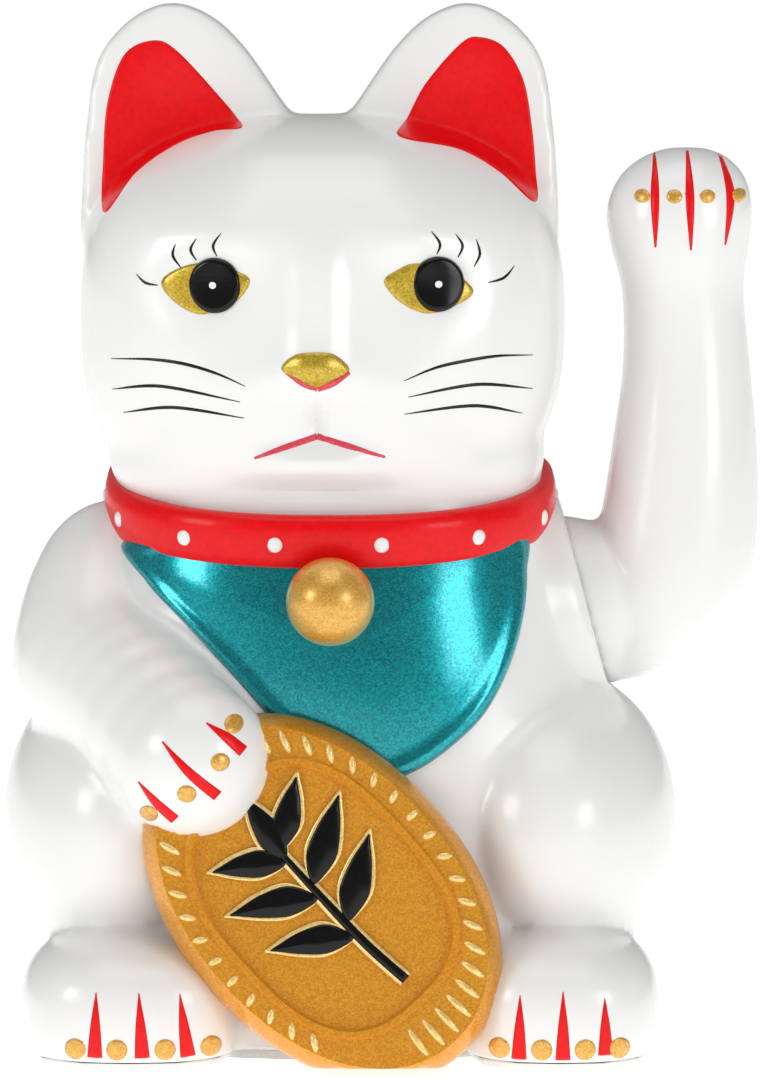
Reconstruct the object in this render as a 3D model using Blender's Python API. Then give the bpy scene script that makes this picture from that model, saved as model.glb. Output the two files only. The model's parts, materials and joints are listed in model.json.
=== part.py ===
"""Beckoning cat figurine with a battery-driven swinging arm.

Units are metres. +Z is up, the cat faces -Y, and its raised arm is on the +X side.
The origin is on the underside of the base plate, below the middle of the body.
The body and the raised arm are hollow shells, each made as a front and a rear half that meet at y = 0.
Everything that swings with the raised arm hangs from the empty "arm_pivot" on the shaft's axis.
"""

import math

import bmesh
import bpy
from mathutils import Matrix, Vector

MM = 0.001

# Driving dimensions
HEIGHT = 200.0 * MM  # floor to ear tips
BODY_WALL = 2.2 * MM
ARM_WALL = 1.6 * MM
GAP = 0.3 * MM  # between pieces that touch
PARTING_GAP = 0.3 * MM  # between a front half and a rear half
SHELL_FLOOR = 2.0 * MM  # height of the body shell's lower edge

# The raised arm's pivot and its swing
PIVOT = Vector((46.5, 0.0, 84.0)) * MM
SHAFT_RADIUS = 1.5 * MM
SHAFT_ENDS = (14.6 * MM, 66.0 * MM)
BORE_RADIUS = 1.75 * MM  # of every bore that the shaft goes through
SHAFT_HOLE = 3.2 * MM  # radius of the hole in the body's side
SHOULDER_RADIUS = 16.5 * MM
SWING_CLEARANCE = 1.2 * MM  # round the swinging shoulder
SIDE_CLEARANCE = 2.2 * MM  # along X, so that the sloping faces don't meet when the arm turns
SIDE_SLOPE = math.radians(14.7)  # lean of the body's side where the arm sits against it
HUB_RADIUS = 6.0 * MM
HUB_LENGTH = 10.0 * MM
HUB_X = 56.5 * MM

# Base plate
PLATE_FLANGE = 1.7 * MM  # the visible edge below the shells
PLATE_INSET = 1.0 * MM
PLATE_TOP = 3.6 * MM  # top of the step that fits inside the shells

# AA cell, lying across the rear of the base in a compartment that opens downwards
CELL_RADIUS = 7.1 * MM
CELL_BODY = (-19.4 * MM, 29.6 * MM)
CELL_NUB = (2.7 * MM, 1.0 * MM)  # radius, length
CELL_YZ = (23.0 * MM, 11.9 * MM)
BOX_X = 2.4 * MM  # middle of the compartment and its door
BOX_HALF = (29.5 * MM, 8.2 * MM)  # inner half length along X, inner half width along Y
BOX_TOP = 19.6 * MM
BOX_WALL = 1.6 * MM
CONTACT_THICK = 0.5 * MM
SPRING_RADIUS = 4.5 * MM
SPRING_WIRE = 0.5 * MM
SPRING_TURNS = 3.5

# Battery door, which slides out to the rear on a tongue along each side
DOOR_HALF = 31.5 * MM
DOOR_TONGUE = 1.5 * MM
DOOR_LEVELS = (0.3 * MM, 0.95 * MM, 1.65 * MM)  # underside, tongue, top
DOOR_FRONT = 12.0 * MM
GRIP_RADIUS = 3.2 * MM  # of the finger groove across the door
GRIP_DEPTH = 0.6 * MM
GRIP_LENGTH = 16.0 * MM
GRIP_Y = 34.0 * MM

# Slide switch, worked from below
SWITCH_CENTRE = Vector((-24.0, 4.0, 6.2)) * MM
SWITCH_BODY = Vector((9.0, 5.0, 4.4)) * MM
SWITCH_SLOT = Vector((7.0, 3.4, 0.0)) * MM
SWITCH_KNOB = Vector((3.0, 2.6, 2.6)) * MM

# Mechanism frame: two uprights either side of the pendulum
UPRIGHT_THICK = 2.4 * MM
UPRIGHTS_X = (19.2 * MM, 37.8 * MM)
UPRIGHT_HALF = (12.4 * MM, 16.0 * MM)  # at the foot, and at the stop bars
FRAME_FLOOR = 3.9 * MM
EAR_LEVELS = (8.3 * MM, 10.1 * MM)  # underside and top of the ears that the frame is screwed down by
STOP_BAR_Y = (13.6 * MM, 15.8 * MM)
STOP_BAR_Z = (60.0 * MM, 72.0 * MM)
BOARD_LEVELS = (6.0 * MM, 7.6 * MM)
BUSH_RADIUS = 3.0 * MM
BUSH_FLANGE = (4.6 * MM, 1.0 * MM)  # radius, thickness

# Pendulum, hung on the shaft between the uprights
PENDULUM_X = 28.5 * MM
LEVER_HALF = (1.5 * MM, 3.0 * MM)
LEVER_BOSS = (4.6 * MM, 9.0 * MM)  # radius, length
WEIGHT_SIZE = Vector((13.8, 19.0, 14.0)) * MM
WEIGHT_TOP = 39.6 * MM
MAGNET_RADIUS = 6.0 * MM
MAGNET_THICK = 3.0 * MM
COIL_TOP = 19.0 * MM
COIL_RADIUS = 6.6 * MM

# Screws: x and y (mm)
SCREW_RADIUS = 1.3 * MM
SCREW_HOLE = 1.7 * MM
HEAD_RADIUS = 2.5 * MM
HEAD_THICK = 1.4 * MM
HEAD_SLOT = (0.3 * MM, 0.7 * MM)  # half width, depth
BASE_SCREW_LENGTH = 12.0 * MM
FRAME_SCREW_LENGTH = 7.0 * MM  # below its head
BASE_SCREWS = [(-12.0, -33.0), (16.0, -33.0), (-36.5, 26.0), (40.5, 26.0)]
FRAME_SCREWS = [(13.0, 0.0), (44.0, 0.0)]
BOSS_RADIUS = 3.6 * MM
BOSS_TOP = 17.0 * MM
POST_TOP = 8.0 * MM

# Leads inside the body: cell to board, cell to switch, switch to board (mm)
WIRE_RADIUS = 0.6 * MM
POSITIVE_ROUTE = [
    (34.0, 20.0, 14.0), (35.2, 17.5, 15.5), (35.2, 14.5, 15.0), (34.6, 12.0, 12.0), (34.4, 11.2, 8.4),
]
NEGATIVE_ROUTE = [
    (-29.2, 20.0, 12.0), (-31.6, 17.0, 12.0), (-32.4, 11.0, 9.5), (-31.0, 6.0, 6.8), (-29.0, 4.0, 6.2),
]
SWITCH_ROUTE = [
    (-19.1, 4.0, 6.2), (-12.0, 2.0, 5.0), (-4.0, -5.0, 4.9), (4.0, -12.0, 5.6), (12.0, -16.5, 8.5),
    (20.0, -17.0, 11.5), (23.5, -14.5, 12.0), (23.5, -11.6, 8.4),
]

# Koban, the oval coin: an upright ellipse leaning to one side, cut flat at its foot
KOBAN_CENTRE = Vector((-1.5, -54.5, 33.0)) * MM
KOBAN_FLOOR = 0.8 * MM
KOBAN_SETBACK = math.radians(-8.0)  # it leans back against the belly
KOBAN_HALF = (27.5 * MM, 39.6 * MM)
KOBAN_LEAN = math.radians(-42.7)
KOBAN_THICK = 8.0 * MM
KOBAN_RIM = 5.0 * MM
KOBAN_RECESS = 1.0 * MM
KOBAN_SIDES = 48

# Neckband, and the bell in front of it on a stud through the chest
NECK = (-0.2 * MM, 42.2 * MM, -37.2 * MM, 35.4 * MM)  # middle x, half width, front y, rear y
COLLAR_THICK = 2.3 * MM
COLLAR_HEIGHT = 10.2 * MM
COLLAR_Z = 104.4 * MM
COLLAR_TILT = math.radians(7.8)
COLLAR_FRONT = -40.3 * MM
BELL_CENTRE = Vector((0.0, -44.5, 88.5)) * MM
BELL_RADIUS = 8.4 * MM
STUD_RADIUS = 2.0 * MM
STUD_END = -33.5 * MM

# Body sections from the floor up: height, middle x, half width, front y, rear y (mm)
TORSO = [
    (0.0, 2.5, 48.6, -40.8, 41.6),
    (20.0, 2.3, 53.0, -43.0, 45.5),
    (45.0, 2.0, 54.0, -42.0, 46.0),
    (68.0, 1.2, 50.5, -40.0, 43.0),
    (84.0, 0.5, 46.3, -38.0, 39.5),
    (99.0, 0.0, 42.6, -36.0, 36.0),
    (108.0, -0.2, 41.0, -35.0, 34.0),
    (118.0, -1.2, 39.5, -33.0, 32.0),
]
# Rounded solids added to the torso: centre (mm), half sizes (mm), squareness
HEAD = ((-1.65, -2.0, 139.5), (46.8, 37.0, 39.0), 2.7)
CHEEKS = ((-2.3, -18.0, 121.0), (36.0, 21.0, 18.0), 2.3)
THIGHS = [((-39.5, -6.0, 43.0), (24.0, 40.0, 29.0), 2.1), ((42.5, -6.0, 42.0), (24.5, 40.0, 29.0), 2.1)]
FEET = [((-38.0, -33.0, 9.5), (21.5, 24.0, 15.5), 2.6), ((43.5, -33.0, 9.5), (19.5, 24.0, 15.5), 2.6)]
LOWERED_ARM = [
    ((-43.0, -7.0, 80.0), (17.6, 17.0, 23.5), 2.0),
    ((-46.0, -19.0, 74.0), (14.8, 15.0, 15.5), 2.0),
    ((-35.0, -33.0, 67.0), (15.5, 14.0, 14.8), 2.0),
    ((-25.5, -43.0, 59.5), (14.0, 12.5, 14.2), 2.0),
]
TAIL = [((20.0, 42.0, 22.0), (8.0, 8.0, 9.0), 2.0), ((25.0, 43.0, 32.0), (6.5, 7.0, 9.0), 2.0)]

# Ear outline from its inner foot over the tip to its outer foot, for the ear on the +X side (mm)
EAR_MIDDLE_X = -2.2
EAR_OUTLINE = [
    (4.0, 171.0), (5.3, 177.5), (8.7, 183.0), (13.5, 190.0), (18.1, 195.2), (23.2, 198.6),
    (29.2, HEIGHT / MM), (36.5, 196.9), (43.2, 189.2), (45.4, 177.0), (46.0, 164.0), (41.0, 152.0),
    (22.0, 158.0),
]
EAR_FRONT = -10.0 * MM
EAR_REAR = 8.0 * MM
EAR_SCOOP = 5.5 * MM  # depth of the hollow in front of each ear
EAR_THINNING = 0.45  # share of its depth that an ear has lost at its tip
EAR_FOOT = 165.0 * MM  # height from which it gets thinner

# Raised arm from its foot to the paw: height, inner x, outer x, half depth (mm)
ARM_SECTIONS = [
    (69.0, 54.5, 61.0, 4.5),
    (72.0, 51.5, 68.5, 11.0),
    (77.0, 50.5, 74.5, 14.5),
    (84.0, 50.0, 79.3, 16.2),
    (93.0, 50.8, 82.2, 16.5),
    (104.0, 53.0, 82.9, 15.8),
    (116.0, 54.8, 82.5, 14.6),
    (130.0, 56.6, 81.2, 13.2),
    (144.0, 56.4, 79.9, 12.8),
    (153.0, 54.2, 80.8, 13.4),
    (160.0, 53.4, 81.5, 13.2),
    (166.0, 55.6, 80.2, 11.6),
    (170.0, 60.0, 76.8, 8.0),
    (171.9, 65.0, 72.5, 3.5),
]

COLOURS = {
    "white_abs": ((0.86, 0.86, 0.85), 0.30, 0.0),
    "red_abs": ((0.75, 0.0, 0.01), 0.35, 0.0),
    "gold_paint": ((0.62, 0.36, 0.05), 0.30, 0.8),
    "orange_gold_paint": ((0.70, 0.29, 0.03), 0.35, 0.6),
    "black_abs": ((0.03, 0.03, 0.03), 0.5, 0.0),
    "grey_abs": ((0.55, 0.55, 0.54), 0.5, 0.0),
    "steel": ((0.55, 0.56, 0.57), 0.3, 1.0),
    "brass": ((0.75, 0.55, 0.2), 0.3, 1.0),
    "copper": ((0.72, 0.28, 0.13), 0.3, 1.0),
    "board_green": ((0.03, 0.22, 0.08), 0.5, 0.0),
    "cell_jacket": ((0.1, 0.1, 0.35), 0.4, 0.0),
    "red_wire": ((0.6, 0.02, 0.02), 0.5, 0.0),
    "black_wire": ((0.02, 0.02, 0.02), 0.5, 0.0),
}


def clear_scene():
    for thing in list(bpy.data.objects):
        bpy.data.objects.remove(thing, do_unlink=True)


def material(name):
    """The Principled material of that name, made the first time it is asked for."""
    found = bpy.data.materials.get(name)
    if found:
        return found
    made = bpy.data.materials.new(name)
    made.use_nodes = True
    shader = made.node_tree.nodes["Principled BSDF"]
    colour, roughness, metallic = COLOURS[name]
    shader.inputs["Base Color"].default_value = (*colour, 1.0)
    shader.inputs["Roughness"].default_value = roughness
    shader.inputs["Metallic"].default_value = metallic
    return made


def add_object(name, bm, finish=None):
    """Turns a bmesh into an object, with its normals out and its round faces smooth."""
    bmesh.ops.recalc_face_normals(bm, faces=bm.faces)
    mesh = bpy.data.meshes.new(name)
    bm.to_mesh(mesh)
    bm.free()
    made = bpy.data.objects.new(name, mesh)
    bpy.context.scene.collection.objects.link(made)
    if finish:
        mesh.materials.append(material(finish))
    mesh.shade_smooth()
    mesh.set_sharp_from_angle(angle=math.radians(35))
    return made


# Solids


def box(low, high):
    low, high = Vector(low), Vector(high)
    bm = bmesh.new()
    size = high - low
    place = Matrix.Translation((low + high) / 2) @ Matrix.Diagonal((*size, 1.0))
    bmesh.ops.create_cube(bm, size=1.0, matrix=place)
    return bm


AXIS_TURN = {
    "X": Matrix.Rotation(math.radians(90), 4, "Y"),
    "Y": Matrix.Rotation(math.radians(-90), 4, "X"),
    "Z": Matrix.Identity(4),
}


def rod(axis, centre, radius, length, sides=24):
    """A cylinder along one axis, its middle at centre."""
    bm = bmesh.new()
    place = Matrix.Translation(centre) @ AXIS_TURN[axis]
    bmesh.ops.create_cone(
        bm, cap_ends=True, segments=sides, radius1=radius, radius2=radius, depth=length, matrix=place
    )
    return bm


def turned(axis, centre, profile, sides=24, closed=False):
    """A solid turned from (radius, height) points: a closed section, or one from the axis back to it."""
    bm = bmesh.new()
    points = [bm.verts.new((radius, 0, height)) for radius, height in profile]
    pairs = list(zip(points, points[1:]))
    if closed:
        pairs.append((points[-1], points[0]))
    edges = [bm.edges.new(pair) for pair in pairs]
    bmesh.ops.spin(
        bm, geom=points + edges, cent=(0, 0, 0), axis=(0, 0, 1), angle=math.tau, steps=sides, use_merge=True
    )
    bmesh.ops.remove_doubles(bm, verts=bm.verts, dist=1e-6)
    bmesh.ops.transform(bm, verts=bm.verts, matrix=Matrix.Translation(centre) @ AXIS_TURN[axis])
    return bm


def tube(axis, centre, outer, inner, length, sides=24):
    """A round tube with open ends, its middle at centre."""
    half = length / 2
    section = [(outer, -half), (outer, half), (inner, half), (inner, -half)]
    return turned(axis, centre, section, sides, closed=True)


def prism(outline, front, rear):
    """An (x, z) outline extruded along Y from front to rear."""
    bm = bmesh.new()
    face = bm.faces.new([bm.verts.new((x, front, z)) for x, z in outline])
    pulled = bmesh.ops.extrude_face_region(bm, geom=[face])["geom"]
    moved = [v for v in pulled if isinstance(v, bmesh.types.BMVert)]
    bmesh.ops.translate(bm, verts=moved, vec=(0, rear - front, 0))
    return bm


def rounded(centre, half, power, inset=0.0, around=14, levels=8):
    """An ellipsoid, squarer as power rises above 2. Sizes in millimetres, inset in metres."""
    bm = bmesh.new()
    bmesh.ops.create_uvsphere(bm, u_segments=around, v_segments=levels, radius=1.0)
    sizes = [h * MM - inset for h in half]
    for vert in bm.verts:
        stretch = sum(abs(c) ** power for c in vert.co) ** (-1.0 / power)
        vert.co = Vector([c * stretch * size for c, size in zip(vert.co, sizes)])
    bmesh.ops.translate(bm, verts=bm.verts, vec=Vector(centre) * MM)
    return bm


def smooth_rows(rows, count):
    """Rows read off a smooth curve through the given rows, evenly spaced along their number."""
    found = []
    for step in range(count):
        place = step * (len(rows) - 1) / (count - 1)
        first = min(int(place), len(rows) - 2)
        t = place - first
        four = [rows[min(max(first + k, 0), len(rows) - 1)] for k in (-1, 0, 1, 2)]
        row = []
        for a, b, c, d in zip(*four):
            row.append(b + 0.5 * t * (c - a + t * (2 * a - 5 * b + 4 * c - d + t * (3 * (b - c) + d - a))))
        found.append(row)
    return found


def loft(rings, around, power):
    """A closed solid over rings of (z, middle x, half width, front y, rear y), in metres."""
    bm = bmesh.new()
    previous = None
    for z, middle, half, front, rear in rings:
        for vert in bmesh.ops.create_circle(bm, segments=around, radius=1.0)["verts"]:
            spot = vert.co.copy()
            stretch = (abs(spot.x) ** power + abs(spot.y) ** power) ** (-1.0 / power)
            depth = -front if spot.y < 0 else rear
            vert.co = (middle + spot.x * stretch * half, spot.y * stretch * depth, z)
        bm.edges.ensure_lookup_table()
        ring = bm.edges[-around:]
        if previous:
            bmesh.ops.bridge_loops(bm, edges=previous + ring)
        else:
            bmesh.ops.contextual_create(bm, geom=ring)
        # Bridging renumbers the edges, so the ring is found again by its height.
        previous = [e for e in bm.edges if all(abs(v.co.z - z) < 1e-7 for v in e.verts)]
    bmesh.ops.contextual_create(bm, geom=previous)
    return bm


def wire(name, points, radius, finish, smooth=True):
    """A round wire through points in millimetres, with filled ends."""
    curve = bpy.data.curves.new(name, "CURVE")
    curve.dimensions = "3D"
    curve.bevel_depth = radius
    curve.bevel_resolution = 1 if radius < 0.55 * MM else 2
    curve.use_fill_caps = True
    rows = [[c * MM for c in p] for p in points]
    if smooth:
        rows = smooth_rows(rows, 3 * len(rows))
    spline = curve.splines.new("POLY")
    spline.points.add(len(rows) - 1)
    for point, row in zip(spline.points, rows):
        point.co = (*row, 1.0)
    curve.materials.append(material(finish))
    made = bpy.data.objects.new(name, curve)
    bpy.context.scene.collection.objects.link(made)
    return made


# Joining and cutting


def combine(target, operation, *solids):
    """Applies one Boolean after another to an object. The solids are closed bmeshes, and are used up.

    The Exact solver leaves open edges where the many rounded solids of the body meet, and Manifold doesn't.
    """
    tools = [add_object(f"tool_{number}", solid) for number, solid in enumerate(solids)]
    for tool in tools:
        step = target.modifiers.new(tool.name, "BOOLEAN")
        step.operation = operation
        step.solver = "MANIFOLD"
        step.object = tool
    graph = bpy.context.evaluated_depsgraph_get()
    result = bpy.data.meshes.new_from_object(target.evaluated_get(graph))
    target.modifiers.clear()
    target.data = result
    for tool in tools:
        bpy.data.objects.remove(tool, do_unlink=True)
    return target


def mesh_of(thing):
    """The object's mesh as a bmesh of its own, to cut something else with."""
    bm = bmesh.new()
    bm.from_mesh(thing.data)
    return bm


def take(thing):
    """As mesh_of, and removes the object."""
    bm = mesh_of(thing)
    bpy.data.objects.remove(thing, do_unlink=True)
    return bm


def half_of(whole, name, side):
    """The front (side -1) or rear (side 1) half of a shell, short of the parting plane by half its gap."""
    made = whole.copy()
    made.data = whole.data.copy()
    made.name = name
    bpy.context.scene.collection.objects.link(made)
    far = 200 * MM
    near = side * PARTING_GAP / 2
    low, high = sorted((near, -side * far))
    return combine(made, "DIFFERENCE", box((-far, low, -far), (far, high, 2 * far)))


# Body shell


def body_solid(name, inset):
    """The cat without its raised arm, made smaller all round by inset. It runs on below the shell's floor."""
    floor = TORSO[0]
    rows = [(floor[0] - 6.0, *floor[1:])] + smooth_rows(TORSO, 9)
    rings = [
        (z * MM, middle * MM, half * MM - inset, front * MM + inset, rear * MM - inset)
        for z, middle, half, front, rear in rows
    ]
    solids = [rounded(*HEAD, inset, around=24, levels=14), rounded(*CHEEKS, inset, around=16)]
    solids += [rounded(*spec, inset, around=16, levels=10) for spec in THIGHS]
    solids += [rounded(*spec, inset) for spec in FEET]
    # The paw and the tail are solid: only the rest is hollow.
    solids += [rounded(*spec, inset) for spec in (LOWERED_ARM[:-1] if inset else LOWERED_ARM)]
    if not inset:
        solids += [rounded(*spec, around=10, levels=6) for spec in TAIL]
    solids += [ear(side, inset) for side in (-1, 1)]
    return combine(add_object(name, loft(rings, 28, 2.5), "white_abs"), "UNION", *solids)


def ear(side, inset):
    """One pointed ear, on the side given by the sign of x, thinner at its tip and scooped in front."""
    outline = smooth_rows(EAR_OUTLINE, 14)
    middle = Vector((26.0, 170.0)) * MM
    spots = []
    for x, z in outline:
        spot = Vector((x, z)) * MM - middle
        spots.append(middle + spot * (1 - inset / spot.length))
    front = EAR_FRONT + inset + (EAR_SCOOP if inset else 0.0)
    bm = prism(spots, front, EAR_REAR - inset)
    for vert in bm.verts:
        vert.co.y *= 1 - EAR_THINNING * max(0.0, (vert.co.z - EAR_FOOT) / (HEIGHT - EAR_FOOT))
    bmesh.ops.transform(bm, verts=bm.verts, matrix=Matrix.Diagonal((side, 1, 1, 1)))
    bmesh.ops.translate(bm, verts=bm.verts, vec=(EAR_MIDDLE_X * MM, 0, 0))
    if inset:
        bmesh.ops.recalc_face_normals(bm, faces=bm.faces)
        return bm
    whole = add_object("ear", bm)
    deep = 7.5
    centre_y = (EAR_FRONT + EAR_SCOOP) / MM - deep
    scoop = rounded((EAR_MIDDLE_X + side * 29.0, centre_y, 176.0), (14.5, deep, 19.0), 2.0, around=12)
    return take(combine(whole, "DIFFERENCE", scoop))


def arm_recess(grown=0.0):
    """The space that the shoulder swings in: a cylinder on the pivot axis, cut off along the body's side."""
    radius = SHOULDER_RADIUS + SWING_CLEARANCE + grown
    bm = rod("X", PIVOT + Vector((20 * MM, 0, 0)), radius, 80 * MM, sides=40)
    return cut_along_side(bm, -grown)


def cut_along_side(bm, shift):
    """Takes away what lies inside the sloping plane at the pivot, shifted out along X."""
    normal = Vector((math.cos(SIDE_SLOPE), 0, math.sin(SIDE_SLOPE)))
    everything = bm.verts[:] + bm.edges[:] + bm.faces[:]
    place = PIVOT + Vector((shift, 0, 0))
    cut = bmesh.ops.bisect_plane(bm, geom=everything, plane_co=place, plane_no=normal, clear_inner=True)
    edges = [e for e in cut["geom_cut"] if isinstance(e, bmesh.types.BMEdge)]
    bmesh.ops.contextual_create(bm, geom=edges)
    bmesh.ops.recalc_face_normals(bm, faces=bm.faces)
    return bm


def body_shells():
    whole = body_solid("body", 0.0)
    cavity = combine(body_solid("cavity", BODY_WALL), "DIFFERENCE", arm_recess(BODY_WALL))
    far = 100 * MM
    below = box((-far, -far, -far), (far, far, SHELL_FLOOR))
    combine(whole, "DIFFERENCE", take(cavity), arm_recess(), below)
    combine(whole, "UNION", *[boss for place in BASE_SCREWS for boss in screw_boss(*place)])
    holes = [rod("Z", (x * MM, y * MM, 8 * MM), SCREW_HOLE, 14 * MM, sides=16) for x, y in BASE_SCREWS]
    shaft_hole = rod("X", PIVOT, SHAFT_HOLE, 24 * MM)
    stud_hole = rod("Y", BELL_CENTRE + Vector((0, 9 * MM, 0)), STUD_RADIUS + GAP, 12 * MM, sides=16)
    combine(whole, "DIFFERENCE", *holes, shaft_hole, stud_hole, koban_solid(GAP, KOBAN_THICK + 2 * GAP))
    half_of(whole, "front_shell", -1)
    half_of(whole, "rear_shell", 1)
    bpy.data.objects.remove(whole, do_unlink=True)


def screw_boss(x, y):
    """A screw boss that stands just clear of the base plate, with a rib out to the nearest wall."""
    low = PLATE_TOP + GAP
    centre = Vector((x * MM, y * MM, (low + BOSS_TOP) / 2))
    boss = rod("Z", centre, BOSS_RADIUS, BOSS_TOP - low, sides=16)
    if y > 0:
        return [boss]
    wall = TORSO[0][3] * MM + BODY_WALL / 2
    rib = box((centre.x - MM, wall, low + MM), (centre.x + MM, centre.y - MM, BOSS_TOP - MM))
    return [boss, rib]


def collar():
    """The neckband: it lies lower at the front, and its ends meet at the back."""
    half = COLLAR_HEIGHT / 2

    def band(out):
        rings = [
            (z, NECK[0], NECK[1] + out, NECK[2] - out, NECK[3] + out)
            for z in ((-half, half) if out else (-2 * half, 2 * half))
        ]
        return loft(rings, 48, 2.4)

    made = add_object("collar", band(COLLAR_THICK), "red_abs")
    combine(made, "DIFFERENCE", band(0.0), box((-GAP, 0, -half * 2), (GAP, 60 * MM, half * 2)))
    tilt = Matrix.Translation((0, 0, COLLAR_Z)) @ Matrix.Rotation(COLLAR_TILT, 4, "X")
    made.data.transform(tilt)
    # Its inner side is fitted to the neck and the lowered arm's shoulder.
    return combine(made, "DIFFERENCE", take(body_solid("neck", -GAP)), arm_recess())


def bell():
    """A solid round bell with its back cut flat in front of the collar, and a stud through the chest."""
    back = COLLAR_FRONT - GAP
    start = math.asin((back - BELL_CENTRE.y) / BELL_RADIUS)
    steps = 9
    angles = [-math.pi / 2 + (start + math.pi / 2) * k / steps for k in range(steps + 1)]
    profile = [(BELL_RADIUS * math.cos(a), BELL_RADIUS * math.sin(a)) for a in angles]
    profile[0] = (0.0, -BELL_RADIUS)
    profile += [(STUD_RADIUS, back - BELL_CENTRE.y), (STUD_RADIUS, STUD_END - BELL_CENTRE.y)]
    profile += [(0.0, STUD_END - BELL_CENTRE.y)]
    add_object("bell", turned("Y", BELL_CENTRE, profile), "gold_paint")


def koban_solid(grown, thick):
    """The coin's slab, leaning back against the belly, its edge moved out by grown."""
    wide, tall = (half + grown for half in KOBAN_HALF)
    outline = []
    for step in range(KOBAN_SIDES):
        angle = math.tau * step / KOBAN_SIDES
        across, along = wide * math.cos(angle), tall * math.sin(angle)
        x = across * math.cos(KOBAN_LEAN) + along * math.sin(KOBAN_LEAN)
        z = along * math.cos(KOBAN_LEAN) - across * math.sin(KOBAN_LEAN)
        outline.append((KOBAN_CENTRE.x + x, KOBAN_CENTRE.z + z))
    bm = prism(outline, KOBAN_CENTRE.y - thick / 2, KOBAN_CENTRE.y + thick / 2)
    floor = KOBAN_FLOOR - grown
    everything = bm.verts[:] + bm.edges[:] + bm.faces[:]
    cut = bmesh.ops.bisect_plane(
        bm, geom=everything, plane_co=(0, 0, floor), plane_no=(0, 0, 1), clear_inner=True
    )
    bmesh.ops.contextual_create(bm, geom=[e for e in cut["geom_cut"] if isinstance(e, bmesh.types.BMEdge)])
    lean = Matrix.Rotation(KOBAN_SETBACK, 4, "X")
    foot = Matrix.Translation((0, KOBAN_CENTRE.y, 0))
    bmesh.ops.transform(bm, verts=bm.verts, matrix=foot @ lean @ foot.inverted())
    bmesh.ops.recalc_face_normals(bm, faces=bm.faces)
    return bm


def koban():
    """The coin, with a shallow panel sunk in its face inside the rim."""
    made = add_object("koban_coin", koban_solid(0.0, KOBAN_THICK), "orange_gold_paint")
    outwards = Matrix.Rotation(KOBAN_SETBACK, 3, "X") @ Vector((0, -1, 0))
    panel = koban_solid(-KOBAN_RIM, 2 * KOBAN_RECESS)
    bmesh.ops.translate(panel, verts=panel.verts, vec=outwards * KOBAN_THICK / 2)
    combine(made, "DIFFERENCE", panel)


# Raised arm


def arm_solid(name, inset):
    """The raised arm, made smaller all round by inset."""
    low, high = ARM_SECTIONS[0][0] * MM, ARM_SECTIONS[-1][0] * MM
    shorter = (high - low - 2 * inset) / (high - low)
    rings = []
    for z, inner, outer, deep in smooth_rows(ARM_SECTIONS, 15):
        level = low + inset + (z * MM - low) * shorter
        half = (outer - inner) / 2 * MM - inset
        rings.append((level, (inner + outer) / 2 * MM, half, -(deep * MM - inset), deep * MM - inset))
    rings = [ring for ring in rings if ring[2] > MM and ring[4] > MM]
    shoulder = rod("X", PIVOT + Vector((6 * MM, 0, 0)), SHOULDER_RADIUS - inset, 22 * MM, sides=32)
    cut_along_side(shoulder, SIDE_CLEARANCE + inset)
    return combine(add_object(name, loft(rings, 16, 2.3), "white_abs"), "UNION", shoulder)


def arm_shells():
    whole = arm_solid("arm", 0.0)
    cavity = take(arm_solid("arm_cavity", ARM_WALL))
    combine(whole, "DIFFERENCE", cavity)
    grip = rod("X", Vector((HUB_X + 2 * MM, 0, PIVOT.z)), HUB_RADIUS + 2 * MM, 16 * MM)
    combine(whole, "UNION", cut_along_side(grip, SIDE_CLEARANCE + ARM_WALL / 2))
    seat = rod("X", Vector((HUB_X + 3 * MM, 0, PIVOT.z)), HUB_RADIUS + GAP, HUB_LENGTH + 2 * GAP + 6 * MM)
    shaft_hole = rod("X", PIVOT, SHAFT_RADIUS + 2 * GAP, 24 * MM)
    combine(whole, "DIFFERENCE", seat, shaft_hole)
    swinging(half_of(whole, "arm_front_shell", -1))
    swinging(half_of(whole, "arm_rear_shell", 1))
    bpy.data.objects.remove(whole, do_unlink=True)


def swinging(thing):
    """Hangs an object on the pivot's empty, leaving it where it is."""
    pivot = bpy.data.objects["arm_pivot"]
    thing.data.transform(Matrix.Translation(-PIVOT))
    thing.parent = pivot
    return thing


def arm_hub():
    tools = tube("X", Vector((HUB_X, 0, PIVOT.z)), HUB_RADIUS, BORE_RADIUS, HUB_LENGTH)
    swinging(add_object("arm_hub", tools, "grey_abs"))


# Base plate and what it carries


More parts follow.
